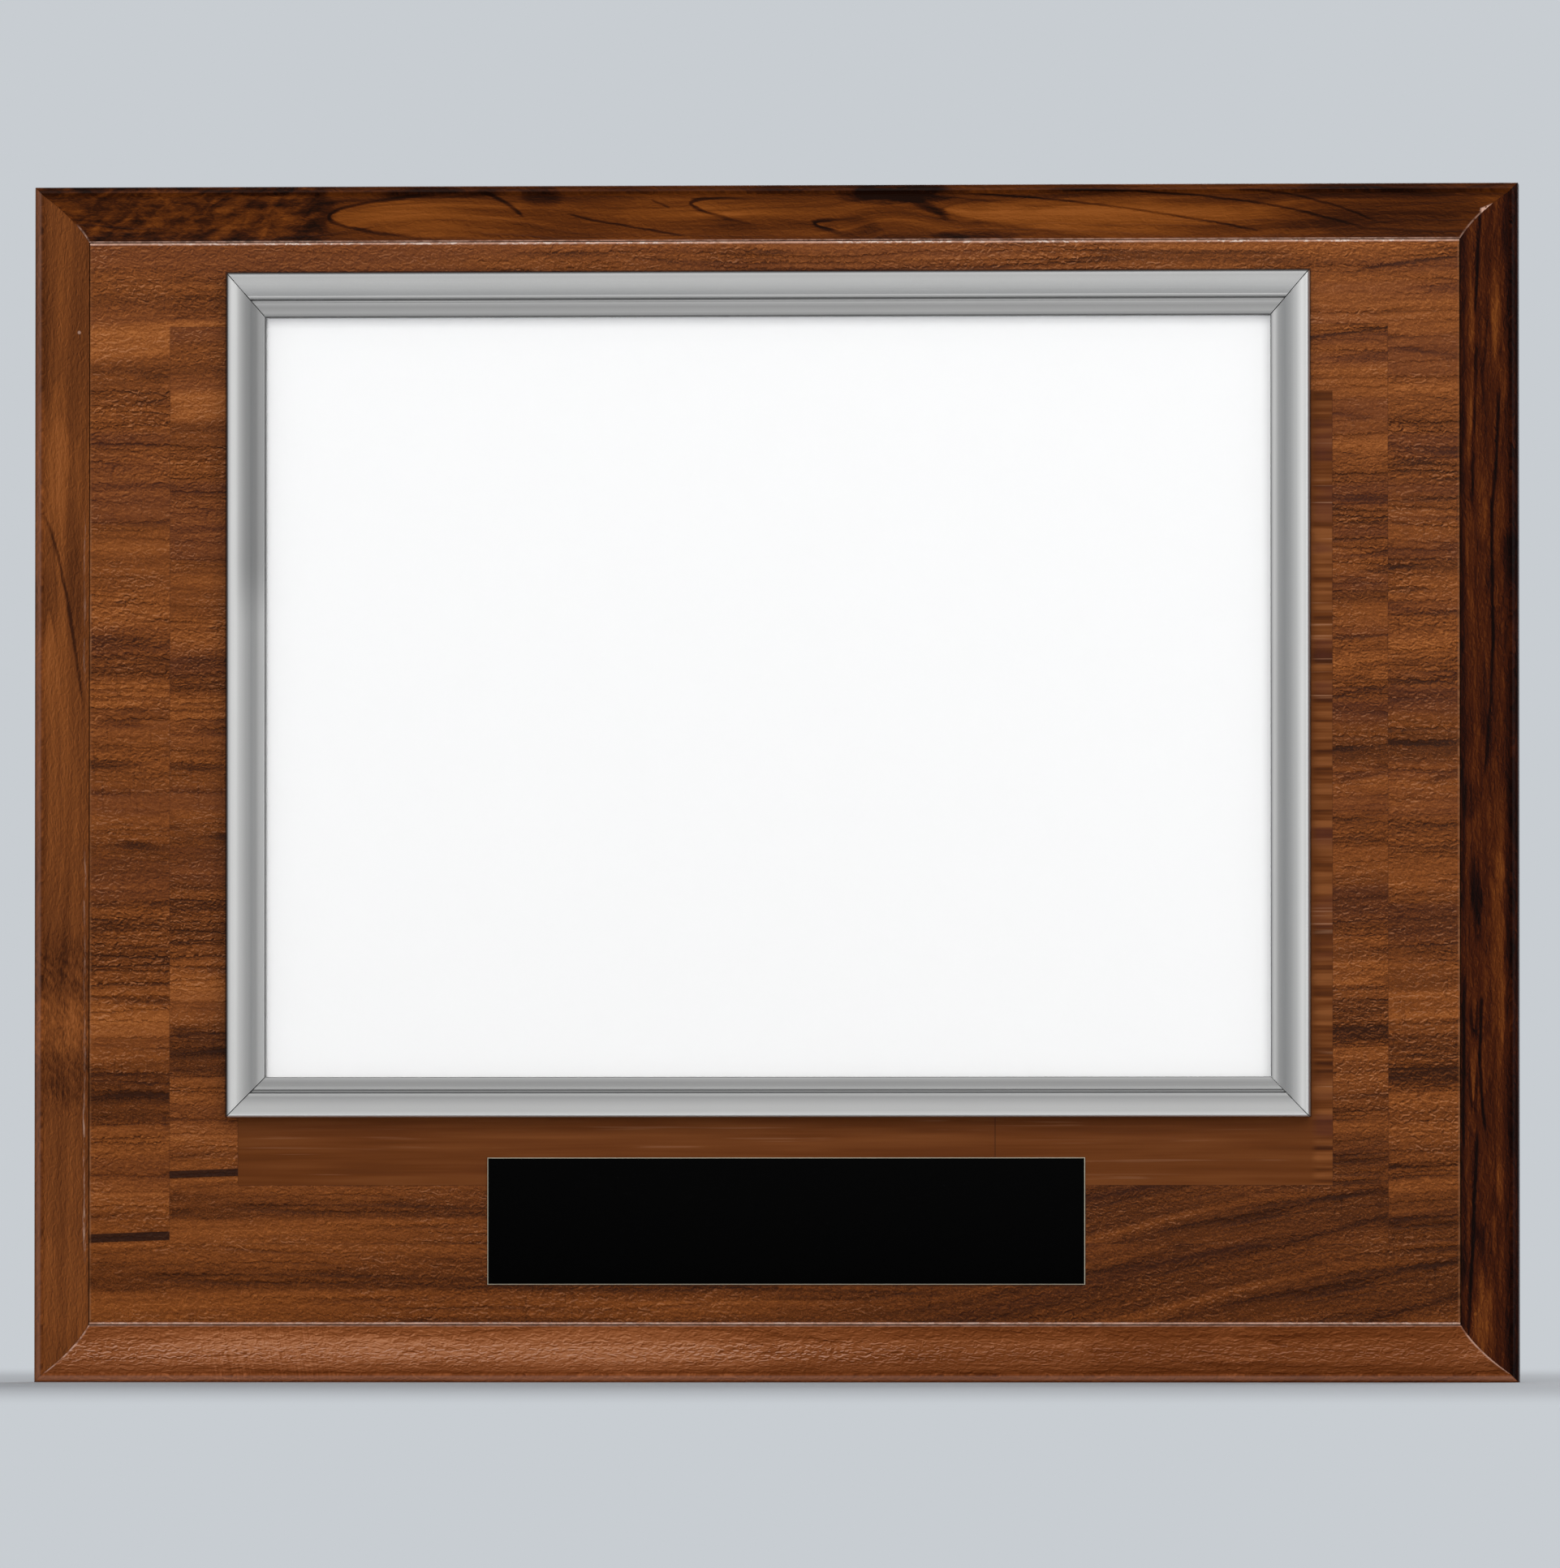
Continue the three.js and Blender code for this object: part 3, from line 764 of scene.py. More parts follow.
# Veneer on the face: a pieced sheet, each ring of which repeats the grain a little smaller
faceLook = {
    "colours": [(52, 23, 6), (88, 44, 13), (121, 64, 23), (150, 84, 35), (180, 108, 53)],
    "smoothColours": [(70, 32, 8), (106, 55, 18), (140, 82, 40)],
    "dusk": paint(92, 46, 31), "fleck": paint(206, 150, 112), "seam": paint(66, 34, 16),
    "worn": paint(228, 180, 156), "speck": paint(248, 226, 212), "tan": paint(150, 98, 64),
    "stripe": paint(36, 17, 11), "shadow": paint(16, 9, 6),
    # rectangles: left, bottom, right, top; the shadow's is what it adds to the frame's
    "outerRing": (-156.2, -117.6, 156.2, 117.6), "innerRing": (-138.6, -102.6, 142, 100.4),
    "railShadow": (-1, -0.1, 0.3, 0.75),
    "laid": (1.2, -0.5), "ringScale": 0.858, "joint": 56.85, "seamLine": (0.05, 0.2),
    "reach": 140, "climb": (190, 55, 105, 30), "lowZone": (95, 112), "topZone": (112, 124),
    "sleekRight": (136, 138.5), "arrisLine": (0.3, 0.7),
    # short dark stripes: a point on the line, its slope, half height and end
    "stripeLine": (-166, -115.8, 0.035, 1, -152),
    "bandHeight": 8, "fray": 2, "emboss": 1.2,
    # bands that stand out: middle and half height in mm, and how much lighter or darker
    "bandsLeft": [(132, 7, 0.08), (116, 5, 0.2), (93, 7, -0.12), (31.5, 5.5, -0.22),
                  (-60.8, 3.5, 0.22), (-79, 9, -0.2), (-126.5, 4.5, -0.13), (-133.5, 3, 0.06)],
    "bandsRight": [(128, 13, 0.12), (70, 8, 0.04), (14, 10, -0.1), (-36, 8, -0.14),
                   (-57, 4, 0.14), (-80, 10, -0.24), (-104, 8, 0.06), (-122, 4, -0.08)],
    "veins": [(148, 131.6, 186, 136.4, 1, 0.7, 0.45), (76, 136.3, 134, 135.8, 1, 1, 0.3),
              (74, -126.4, 186, -107, 1, 1.5, 0.14), (110, -134, 186, -119.6, 1, 1.2, 0.16),
              (146, -138.6, 186, -127.4, 1, 1.2, 0.18), (-180, -125, 60, -131.5, 1.6, 0.8, 0.14)],
}


def veneerFace():
    look = faceLook
    finish, boardX, _, boardZ = surface("veneerFace")
    x, z = boardX - look["laid"][0], boardZ - look["laid"][1]
    outerEdge, innerEdge = beyond(x, z, *look["outerRing"]), beyond(x, z, *look["innerRing"])
    inner = below(innerEdge, 0)
    grow = 1 + below(outerEdge, 0) * (1 / look["ringScale"] - 1)
    px, pz = x * grow, z * grow
    # grain of the rings, which climbs at the lower right
    farRight, start, end, rise = look["climb"]
    climbed = pz - smooth(px, 0, farRight) * smooth(-pz, start, end) * rise
    worms, lit = relief(px, pz, 1.8, 1.1, 6.5)
    level = climbed + (noise(px, pz, 90, 40, 1.5) - 0.5) * 7
    frayed = level + (worms - 0.5) * look["fray"]
    bands = noise(px, level, 300, look["bandHeight"], 2.5)
    streaks = noise(px, frayed, 70, 1.6, 3.5, 3)
    lines = hairline(noise(px, frayed, 150, 5, 4.5, 1), 0.004, 0.03)
    lines *= smooth(noise(px, level, 60, 20, 5.5), 0.4, 0.55)
    threads = hairline(noise(px, frayed, 110, 3.4, 18.5, 1), 0.003, 0.028)
    lines = greatest(lines, threads * smooth(noise(px, level, 34, 13, 19.5), 0.45, 0.6) * 0.8)
    ticks = smooth(noise(px, pz, 0.9, 7, 7.5, 1), 0.6, 0.75)
    ticks *= smooth(noise(px, pz, 40, 12, 8.5), 0.5, 0.62)
    ragged = climbed + (noise(px, pz, 12, 6, 9.5) - 0.5) * 3
    placed = blend(placedBands(ragged, look["bandsLeft"], look["reach"]),
                   placedBands(ragged, look["bandsRight"], look["reach"]), above(px, 0))
    low = smooth(-pz, *look["lowZone"])
    calmer = 0.35 + 0.65 * smooth(noise(px, pz, 70, 22, 16.5), 0.36, 0.6) * (1 - 0.6 * low)
    # the emboss is also painted into the tone as shade and highlight, as if lit from above
    tone = bands + (streaks - 0.5) * 0.52 + lit * calmer * look["emboss"]
    tone += placed - 0.5 - lines * (0.32 - 0.16 * low) - ticks * 0.12
    tone += 0.06 * fade(px, -40, 40)
    tone += smooth(pz, *look["topZone"]) * (0.11 * smooth(px, -20, 30) - 0.01)
    tone -= smooth(-pz, 96, 120) * (0.05 + 0.15 * smooth(px, -130, -40))
    wobble = (worms - 0.5) * 1.4 + (streaks - 0.5) * 0.8
    for path in look["veins"]:
        tone -= vein(px, pz, path, wobble)
    filaments = hairline(noise(px, pz, 1.6, 1, 17.5, 1, 0.5, 1.4), 0.01, 0.07)
    tone += (filaments - 0.3) * 0.2
    rough = ramp(tone, palette(look["colours"]))
    dusk = smooth(noise(px, level, 160, 12, 15.5), 0.5, 0.66)
    rough = blend(rough, look["dusk"], dusk * (0.12 + 0.18 * smooth(pz, -60, 0)))
    # painted highlights where the emboss would catch the light
    reliefHighlights = smooth(lit, 0.09, 0.16) * smooth(noise(px, pz, 20, 9, 12.5), 0.46, 0.62)
    rough = blend(rough, look["fleck"], reliefHighlights * smooth(tone, 0.25, 0.55) * 0.22)
    # smooth streaked patch round the frame
    calm = (noise(x, z, 46, 2.8, 10.5, 1) - 0.5) * 1.1 + (noise(x, z, 30, 0.9, 11.5, 1) - 0.5) * 0.6
    atRight = smooth(x, *look["sleekRight"])
    calm = calm * (0.5 + 1.7 * atRight) + 0.55 + 0.09 * atRight
    dusk = smooth(noise(x, z, 60, 7, 20.5), 0.5, 0.65) * (0.06 + 0.5 * atRight)
    sleek = blend(ramp(calm, palette(look["smoothColours"])), look["dusk"], dusk)
    glints = smooth(noise(x, z, 40, 0.8, 21.5, 1), 0.62, 0.74) * (0.12 + 0.3 * atRight)
    sleek = blend(sleek, look["fleck"], glints * smooth(noise(x, z, 30, 9, 22.5), 0.46, 0.6))
    colour = blend(rough, sleek, inner)
    # short dark stripes low on the left, and the seams
    startX, startZ, slope, half, end = look["stripeLine"]
    slant = pz - startZ - (px - startX) * slope
    stripe = around(slant, half, half + 0.25) * below(px, end) * (1 - inner)
    seam = greatest(around(outerEdge, *look["seamLine"]), around(innerEdge, *look["seamLine"]))
    joint = around(boardX - look["joint"], *look["seamLine"]) * inner
    # shadow line where the rails stand on the face
    dark = [edge + spread for edge, spread in zip(railFrame.values(), look["railShadow"])]
    near = -beyond(boardX, boardZ, *dark)
    # worn arris, strongest along the top and the bottom
    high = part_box("face_sheet")[1] / mm
    edgeX, edgeZ = high.x - abs(boardX), high.z - abs(boardZ)
    broken = smooth(noise(x, z, 2, 2, 13.5, 4, 0.65), 0.38, 0.6)
    along = smooth(noise(x, z, 30, 45, 14.5), 0.4, 0.6)
    wornX = fade(edgeX, *look["arrisLine"]) * (0.25 + 0.75 * broken * along)
    wornZ = fade(edgeZ, *look["arrisLine"]) * (0.6 + 0.4 * broken)
    # bright flecks on it, mostly along the top
    specks = smooth(noise(x, z, 1.3, 0.8, 23.5, 2, 0.6), 0.5, 0.62)
    specks *= smooth(noise(x, z, 26, 200, 24.5), 0.34, 0.56)
    specks *= around(edgeZ - 0.25, 0.15, 0.45) * (0.35 + 0.65 * above(boardZ, 0))
    layers = [("stripe", stripe * 0.9), ("seam", greatest(seam * 0.3, joint * 0.75)),
              ("shadow", smooth(near, -0.1, 0.2) * fade(near, 3, 4) * 0.75),
              ("tan", wornX * 0.85), ("worn", wornZ * 0.9), ("speck", specks * 0.85)]
    for name, share in layers:
        colour = blend(colour, look[name], share)
    height = (worms * 0.7 + streaks * 0.25 - lines * 0.35 - ticks * 0.15) * (1 - inner)
    return coat(finish, colour, 0.5 - worms * 0.2 + inner * 0.1, height, 0.16, specular=0.05)


# Veneer on the mouldings: each has its own figure, cut from a different part of the sheet, and its own
# palette, which also holds painted light and shade: the bottom lightest, the top darker and the right
# darkest
edgeLook = {}
edgeLook["top"] = {
    "colours": [(28, 10, 3), (60, 26, 7), (98, 48, 13), (130, 69, 22), (154, 86, 34)],
    "grain": (90, 5, 0.8), "streak": (30, 1.2, 0.4), "lines": (80, 7, 0.1),
    "wander": 8, "fray": 0.8, "emboss": 0.4, "specular": 0.04, "seed": 20,
    "swells": [(-90, 7.5, 26, 6, 6), (31, 9, 14, 6, 6)],
    "lenses": [(-82, 7.8, 26, 5, 0.06), (-150, 7.5, 44, 16, -0.09), (-28, 8.5, 19, 7, 0.12),
               (-118, 7.5, 5, 8, -0.2), (-60, 3, 6, 2.6, -0.25), (31, 2.6, 15, 3, -0.38),
               (20, 11.5, 9, 2.6, -0.22), (88, 8.4, 50, 4, 0.16), (52, 13.2, 15, 1.2, -0.3),
               (158, 7, 30, 14, -0.16), (-88, 1.9, 20, 1.6, -0.3)],
    "tongues": [(-114.5, 8, 52, 8.4, 0, 0.2, 0.3), (-21.5, 4.8, 30, 4.6, 4, 0.16, 0.4),
                (10.6, 10.2, 14, 2.4, 1.4, 0.2, 0.4), (43.5, 6.6, 96, 8.5, 5, 0.2, 0.05)],
    "veins": [(-75, 1.8, -64, 8.2, 1.4, 0.9, 0.4), (-54, 7, -21, 13.6, 0.8, 0.5, 0.35),
              (-32, 3.6, -26.5, 6, 1, 0.5, 0.25), (20, 2.2, 46, 9.4, 2.4, 1.9, 0.5),
              (46, 2.3, 128, 13.2, 1.6, 0.5, 0.4), (70, 1.6, 153, 12.4, 2.6, 0.5, 0.35),
              (116, 1.6, 156, 11, 2.2, 0.5, 0.25)],
    "burls": [(-200, -114, 2, 1)], "rim": 0.14, "mitreWear": [(10.5, 0.4), (6, 0.3)], "arris": 0.5,
}
edgeLook["bottom"] = {
    "colours": [(82, 37, 12), (110, 56, 22), (138, 76, 37), (172, 103, 60), (206, 138, 95)],
    "grain": (160, 4.5, 0.5), "streak": (30, 0.9, 0.4), "lines": (80, 6, 0.2),
    "wander": 2.5, "fray": 2, "emboss": 0.9, "specular": 0.06, "seed": 40,
    "lenses": [(-120, 8, 46, 5, 0.12), (-50, 8, 60, 5.5, 0.12)],
    "patches": [(-95, 80, 0.12), (52, 22, -0.07), (97, 20, -0.14), (150, 28, -0.1)],
    "rim": 0.1, "mitreWear": [(2, 0.75), (2, 0.75)], "arris": 0.4, "bead": 0.4,
}
edgeLook["left"] = {
    "colours": [(60, 28, 10), (91, 47, 19), (116, 63, 28), (142, 80, 36), (164, 96, 48)],
    "grain": (90, 6, 0.7), "streak": (18, 1.4, 0.3), "lines": (110, 7, 0.06),
    "wander": 3, "fray": 2, "emboss": 0.9, "specular": 0.06, "seed": 60,
    "swells": [(0, 0, 48, 11, -12)],
    "lenses": [(82, 5, 20, 6, 0.24), (47, 2, 10, 4.5, -0.2), (50, 10.5, 16, 3.5, -0.14),
               (-46, 7, 10, 12, -0.12), (-62, 5, 9, 12, 0.24), (-75, 9.5, 8, 8, -0.12),
               (-104, 5, 22, 6, 0.05), (14, 7, 46, 10, 0.11), (-130, 7, 15, 10, 0.09)],
    "tongues": [(45, 3.7, -34, 3.6, 1, 0.14, 0.12)],
    "veins": [(71, -0.4, 18, 13.2, 0.5, 0.7, 0.45)],
    "burls": [(-84, -40, 1.7, 0.42)], "rim": 0.05,
    "scuffs": [(68, 26, 0.3), (-18, -84, 0.4), (-84, -121, 0.85)], "bead": 0.3,
    "nick": (115.9, 11.9, 0.5, 0.5, 0.7),
}
edgeLook["right"] = {
    "colours": [(18, 6, 4), (42, 15, 7), (70, 29, 10), (102, 50, 18), (132, 72, 28)],
    "grain": (26, 4.2, 0.7), "streak": (8, 0.9, 0.65), "lines": (30, 3.6, 0.16),
    "wander": 6, "fray": 2.4, "emboss": 0.6, "specular": 0.04, "seed": 80,
    "swells": [(-60, 6, 30, 4, 4), (60, 8, 40, 5, -4)],
    "lenses": [(-45, 5.2, 36, 2.2, 0.24), (-29, 10.8, 11, 1.5, -0.36), (-5, 12.5, 6, 1.8, -0.22),
               (-102, 4.7, 7, 1.1, 0.2), (-116, 6.2, 7, 1, 0.2), (-136, 9.4, 12, 2.2, 0.3),
               (118, 5.5, 11, 1.5, 0.18), (104, 3.6, 10, 1.4, 0.14), (120, 11.8, 10, 0.9, 0.24),
               (90, 12.2, 9, 1, 0.26), (72, 8.6, 9, 1.3, 0.16), (-136, 10.9, 0.35, 0.35, 1.2)],
    "veins": [(147, 9.3, 118, 10.9, 0.7, 0.7, 0.45), (114, 10.5, 68, 11.8, 1, 0.6, 0.4),
              (102, 4.8, 68, 6.8, 1.5, 0.7, 0.45), (74, 6.8, 32, 6.4, 1, 0.7, 0.5),
              (38, 6.3, 0, 8.6, 1.3, 0.7, 0.4), (-54, 9.2, -73, 9.9, 0.8, 0.6, 0.45),
              (-68, 9.9, -90, 8.3, 1.8, 0.6, 0.5), (-48, 13.7, -96, 14, 1, 0.6, 0.35),
              (-86, 10.4, -146, 12.9, 1, 0.8, 0.5)],
    "tongues": [(-63.5, 11.2, 16, 1.4, 0, 0.14, 0.34), (-82, 11.5, 22, 1.5, 0, 0.24, 0.32)],
    "rim": 0.3,
}
plainEdge = {
    "swells": [], "lenses": [], "tongues": [], "veins": [], "patches": [], "scuffs": [], "burls": [],
    "mitreWear": None, "nick": None, "arris": 0, "bead": 0,
}
edgeWear = {
    "worn": paint(228, 182, 160), "scuff": paint(198, 160, 140), "bead": paint(150, 108, 90),
    "raw": paint(70, 47, 31), "rawTop": (0.35, 0.6), "scuffPlace": 13.5, "chipPlace": 6.8,
    "foot": (1.8, 4.5), "crest": (12.6, 14.2), "arrisLine": (14.15, 14.45),
}


def veneerEdge(side):
    look = plainEdge | edgeLook[side]
    wear, seed = edgeWear, look["seed"]
    finish, x, y, z = surface("veneerEdge_" + side)
    along, across = inwardFrom(board, side, x, z)
    rising = across - y  # goes on up the outer wall and over the bevel
    worms, lit = relief(along, rising, 2.2, 1.3, seed + 6)
    level = rising + (noise(along, rising, 45, 14, seed) - 0.5) * look["wander"]
    for *ellipse, lift in look["swells"]:
        far = farFrom(along, across, *ellipse)
        level += far.math("EXPONENT", -far) * lift
    frayed = level + (worms - 0.5) * look["fray"]
    *size, strength = look["grain"]
    tone = 0.5 + (noise(along, level, *size, seed + 1) - 0.5) * strength
    *size, strength = look["streak"]
    streaks = noise(along, frayed, *size, seed + 2, 3)
    tone += (streaks - 0.5) * strength
    *size, strength = look["lines"]
    lines = hairline(noise(along, frayed, *size, seed + 3, 1), 0.003, 0.03)
    lines *= smooth(noise(along, level, 50, 8, seed + 4), 0.38, 0.58)
    tone -= lines * strength
    cloud = noise(along, rising, 9, 3, seed + 5, 3) - 0.5
    wobble = (worms - 0.5) * 0.35 + cloud * 0.9
    for path in look["veins"]:
        tone -= vein(along, across, path, wobble)
    for start, end, strength, size in look["burls"]:
        # mottled figure, slanting up to the right
        slantA, slantB = along * 0.82 - across * 0.57, along * 0.57 + across * 0.82
        figure = noise(slantA, slantB, 9 * size, 3 * size, seed + 8, 4, 0.6, 0.6) * 0.5
        figure += noise(along, across, 8 * size, 4.5 * size, seed + 11, 4, 0.6, 1.5) * 0.5
        within = smooth(along, start - 5, start + 5) * fade(along, end - 6, end + 4)
        tone += (figure - 0.54) * strength * within
    for spot in look["lenses"]:
        tone += lens(along, across, spot, cloud * 1.6)
    for spot in look["tongues"]:
        tone += tongue(along, across, spot, cloud * 1.2)
    if look["patches"]:
        tone += placedBands(along + cloud * 60, look["patches"], 200) - 0.5
    # the emboss is also painted into the tone as shade and highlight
    tone += lit * look["emboss"]
    # painted shade: darker towards the outer foot and towards the arris, where the bevel turns from the
    # light
    tone -= fade(across, *wear["foot"]) * look["rim"]
    tone -= smooth(across, *wear["crest"]) * look["rim"] * 0.8
    if side == "bottom":
        # painted highlight down the middle of the bottom bevel; its painted emboss highlights and glints
        # fade towards the right
        lively = 1 - 0.7 * smooth(along, 0, 70)
        tone += around(across - 8, 0.5, 6) * (0.14 + lit * lively * 0.8)
        # fine scratches across the grain, near the left end
        scratches = noise(along + across * 0.12, across, 0.55, 12, seed + 13, 1) - 0.5
        within = smooth(along, -152, -140) * fade(along, -118, -106)
        tone += scratches * within * 0.5
    colour = ramp(tone, palette(look["colours"]))
    if look["mitreWear"]:
        # worn line down each mitre, where the bevel meets its plainer neighbour
        foot, top = bevelEnds()
        slope = (top[0] - foot[0]) / (top[1] - foot[1])
        toMitre = halfSide(board, side) - abs(along) - foot[0] + (y + foot[1]) * slope
        pale = fade(toMitre, 0.15, 0.6) * above(across, foot[0])
        pale *= 0.25 + 0.75 * smooth(noise(along, across, 2.5, 2.5, seed + 7, 3), 0.42, 0.55)
        right = above(along, 0)
        ends = [smooth(across, start - 1, start + 1) * share for start, share in look["mitreWear"]]
        pale *= ends[1] * right + ends[0] * (1 - right)
        if side == "top":
            # a chip on the right mitre
            chip = fade(abs(across - wear["chipPlace"]) + toMitre * 0.8, 0.6, 1.5) * right
            pale = greatest(pale, chip * smooth(noise(along, across, 0.9, 0.9, seed + 9), 0.36, 0.5))
        broken = smooth(noise(along, across, 2, 2, seed + 10, 4, 0.65), 0.38, 0.6)
        arris = smooth(across, *wear["arrisLine"]) * (0.4 + 0.6 * broken)
        colour = blend(colour, wear["worn"], greatest(pale, arris * look["arris"]))
    if side == "bottom":
        # painted glints where the emboss would catch the light, in the same pale colour as the worn
        # lines
        glints = smooth(lit, 0.07, 0.14) * around(across - 7.6, 0.5, 4)
        colour = blend(colour, wear["worn"], glints * lively * 0.5)
    if look["bead"]:
        # painted highlight along the bead
        sheen = around(across - moulding["beadRadius"], 0.3, 0.9) * smooth(-y, 9, 11)
        colour = blend(colour, wear["bead"], sheen * (0.6 + streaks * 0.8) * look["bead"])
    if look["scuffs"]:
        # pale scuffs just outside the arris
        spotty = smooth(noise(along, across, 6, 0.9, seed + 12, 5, 0.75), 0.42, 0.62)
        nearLine = around(across - wear["scuffPlace"] + cloud * 1.4, 0.02, 0.4)
        for start, end, strength in look["scuffs"]:
            within = fade(along, start - 3, start + 3) * smooth(along, end - 3, end + 3)
            colour = blend(colour, wear["scuff"], nearLine * spotty * within * strength)
    if look["nick"]:
        colour = blend(colour, wear["scuff"], lens(along, across, look["nick"], 0))
    height = worms * min(look["emboss"], 1) + streaks * 0.2 - lines * 0.3
    colour = blend(colour, wear["raw"], fade(-y, *wear["rawTop"]))
    return coat(finish, colour, 0.44 - worms * 0.15, height, 0.12, look["specular"])


# Silver: satin drawn metal; its colour runs from the outer edge to the opening and holds painted light
# and shade: painted highlights where the section faces forward, painted shade on its slopes, and a dark
# painted shadow line at the outer edge
silverLightAndShade = {
    "top": [(0, 0.1), (0.045, 0.35), (0.1, 0.335), (0.2, 0.39), (0.34, 0.44), (0.48, 0.47),
            (0.53, 0.42), (0.57, 0.29), (0.61, 0.4), (0.66, 0.3), (0.78, 0.225), (0.9, 0.29),
            (0.95, 0.24), (1, 0.29)],
    "bottom": [(0, 0.9), (0.03, 0.88), (0.08, 0.43), (0.14, 0.355), (0.25, 0.325), (0.38, 0.284),
               (0.5, 0.265), (0.58, 0.3), (0.65, 0.225), (0.7, 0.34), (0.78, 0.25), (0.86, 0.225),
               (0.955, 0.273), (1, 0.4)],
    "left": [(0, 0.06), (0.05, 0.32), (0.13, 0.46), (0.24, 0.47), (0.345, 0.37), (0.5, 0.31),
             (0.63, 0.31), (0.757, 0.245), (0.87, 0.32), (0.95, 0.42), (1, 0.3)],
    "right": [(0, 0.55), (0.03, 0.6), (0.09, 0.43), (0.18, 0.51), (0.32, 0.4), (0.5, 0.35),
              (0.65, 0.365), (0.79, 0.3), (0.9, 0.37), (0.95, 0.33), (1, 0.3)],
}
silver = {
    "roughness": 0.48, "tint": (1, 0.985, 0.96, 1),
    # painted shade: the upper part of the left rail is darker
    "dull": 0.28, "dullFrom": (38, 58),
}


def drawnSilver(side):
    finish, x, _, z = surface("drawnSilver_" + side)
    along, inward = inwardFrom(railFrame, side, x, z)
    share = inward / rail["face"][side]
    # painted light and shade across the rail's section, a separate ramp for each side
    tone = ramp(share, [(spot, grey(value)) for spot, value in silverLightAndShade[side]])
    drawn = noise(along, inward, 60, 0.12, 90 + len(side), 2)
    grainy = noise(along, inward, 0.35, 0.3, 95, 1)
    cloud = noise(along, inward, 30, 12, 97)
    level = tone * (0.86 + drawn * 0.14 + grainy * 0.08 + cloud * 0.06)
    if side == "left":
        upperShading = smooth(along, *silver["dullFrom"]) * smooth(share, 0.1, 0.5)
        level *= 1 - upperShading * silver["dull"]
    roughness = silver["roughness"] + drawn * 0.08 + grainy * 0.05
    height = drawn * 0.7 + grainy * 0.3
    return coat(finish, blend(grey(0), silver["tint"], level), roughness, height, 0.012, metallic=1)


# Paper, cover, plate and the pieces behind
plainLook = {
    "paper": ((0.94, 0.931, 0.922, 1), (0.964, 0.956, 0.949, 1)),
    "acrylic": (0.99, 0.99, 0.99, 1),
    "lacquer": (paint(1, 1, 1), paint(4, 4, 4)),
    "plateRim": (paint(206, 198, 174), paint(236, 229, 206)),
    "laminate": [(44, 27, 17), (62, 40, 27), (80, 54, 37)],
}


def certificatePaper():
    finish, x, _, z = surface("certificatePaper")
    fibres = noise(x, z, 1.6, 0.5, 100, 3)
    cloud = noise(x, z, 14, 14, 101, 2)
    colour = blend(*plainLook["paper"], fibres * 0.6 + cloud * 0.4)
    return coat(finish, colour, 0.78 - fibres * 0.1, fibres, 0.01, specular=0.2)


def clearAcrylic():
    finish, x, _, z = surface("clearAcrylic")
    haze = noise(x, z, 40, 60, 105, 2)
    body = x.node("BsdfPrincipled", {
        "Base Color": plainLook["acrylic"], "Roughness": 0.03 + haze * 0.03, "IOR": 1.49,
        "Specular IOR Level": 0.1, "Transmission Weight": 1})
    through = x.node("BsdfTransparent", {"Color": plainLook["acrylic"]})
    path = x.node("LightPath")
    mixOut(greatest(path.other("Is Shadow Ray"), path.other("Is Diffuse Ray")), body, through)
    return finish


def blackPlate():
    finish, x, _, z = surface("blackPlate")
    low, high = [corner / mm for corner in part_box("engraving_plate")]
    inset = -beyond(x, z, low.x, low.z, high.x, high.z)
    rim = fade(inset, plate["ease"] - 0.06, plate["ease"] + 0.02)
    mottle = noise(x, z, 0.6, 0.6, 110, 2)
    lacquer = blend(*plainLook["lacquer"], mottle)
    bright = blend(*plainLook["plateRim"], noise(x, z, 2, 2, 111))
    colour = blend(lacquer, bright, rim)
    return coat(finish, colour, 0.42 + mottle * 0.06, mottle, 0.004, 0.01, rim * 0.4)


def backLaminate():
    finish, x, _, z = surface("backLaminate")
    pores = noise(x, z, 26, 0.8, 120, 3)
    cloud = noise(x, z, 120, 30, 121)
    colour = ramp(pores * 0.7 + cloud * 0.3, palette(plainLook["laminate"]))
    return coat(finish, colour, 0.55 + pores * 0.15, pores, 0.05, specular=0.3)


def speckled(name, colours, size, rough, depth):
    finish, x, y, z = surface(name)
    specks = x.node("TexNoise", {
        "Vector": vector(x / size, y / size, z / size), "Scale": 1, "Detail": 4, "Roughness": 0.65})
    colour = ramp(specks, [(spot, paint(*c)) for spot, c in zip((0.3, 0.5, 0.7), colours)])
    return coat(finish, colour, rough - specks * 0.1, specks, depth)


def metalGrain(name, colours, size, rough, seed):
    finish, x, y, z = surface(name)
    cells = x.node("TexVoronoi", {
        "Vector": vector(x / size, y / size, z / size), "Scale": 1}, out="Color")
    shade = x.node("SeparateColor", {0: cells})
    scratches = noise(x, z, 6, 0.25, seed, 2)
    colour = blend(paint(*colours[0]), paint(*colours[1]), shade * 0.5 + scratches * 0.5)
    return coat(finish, colour, rough + shade * 0.12, scratches, 0.01, metallic=1)


fibre = speckled("fibreboard", [(112, 82, 54), (146, 112, 77), (170, 138, 100)], 0.6, 0.95, 0.12)
card = speckled("greyCard", [(186, 180, 168), (204, 199, 188), (216, 212, 203)], 0.5, 0.95, 0.03)
tape = speckled("foamTape", [(214, 208, 192), (228, 223, 210), (238, 234, 224)], 0.4, 0.9, 0.05)
steel = metalGrain("zincSteel", [(150, 152, 155), (196, 198, 201)], 1.6, 0.3, 140)
alloy = metalGrain("keyAlloy", [(128, 130, 132), (164, 166, 168)], 0.9, 0.4, 141)


def giveFinish(piece, finish):
    piece.data.materials.clear()
    piece.data.materials.append(finish)


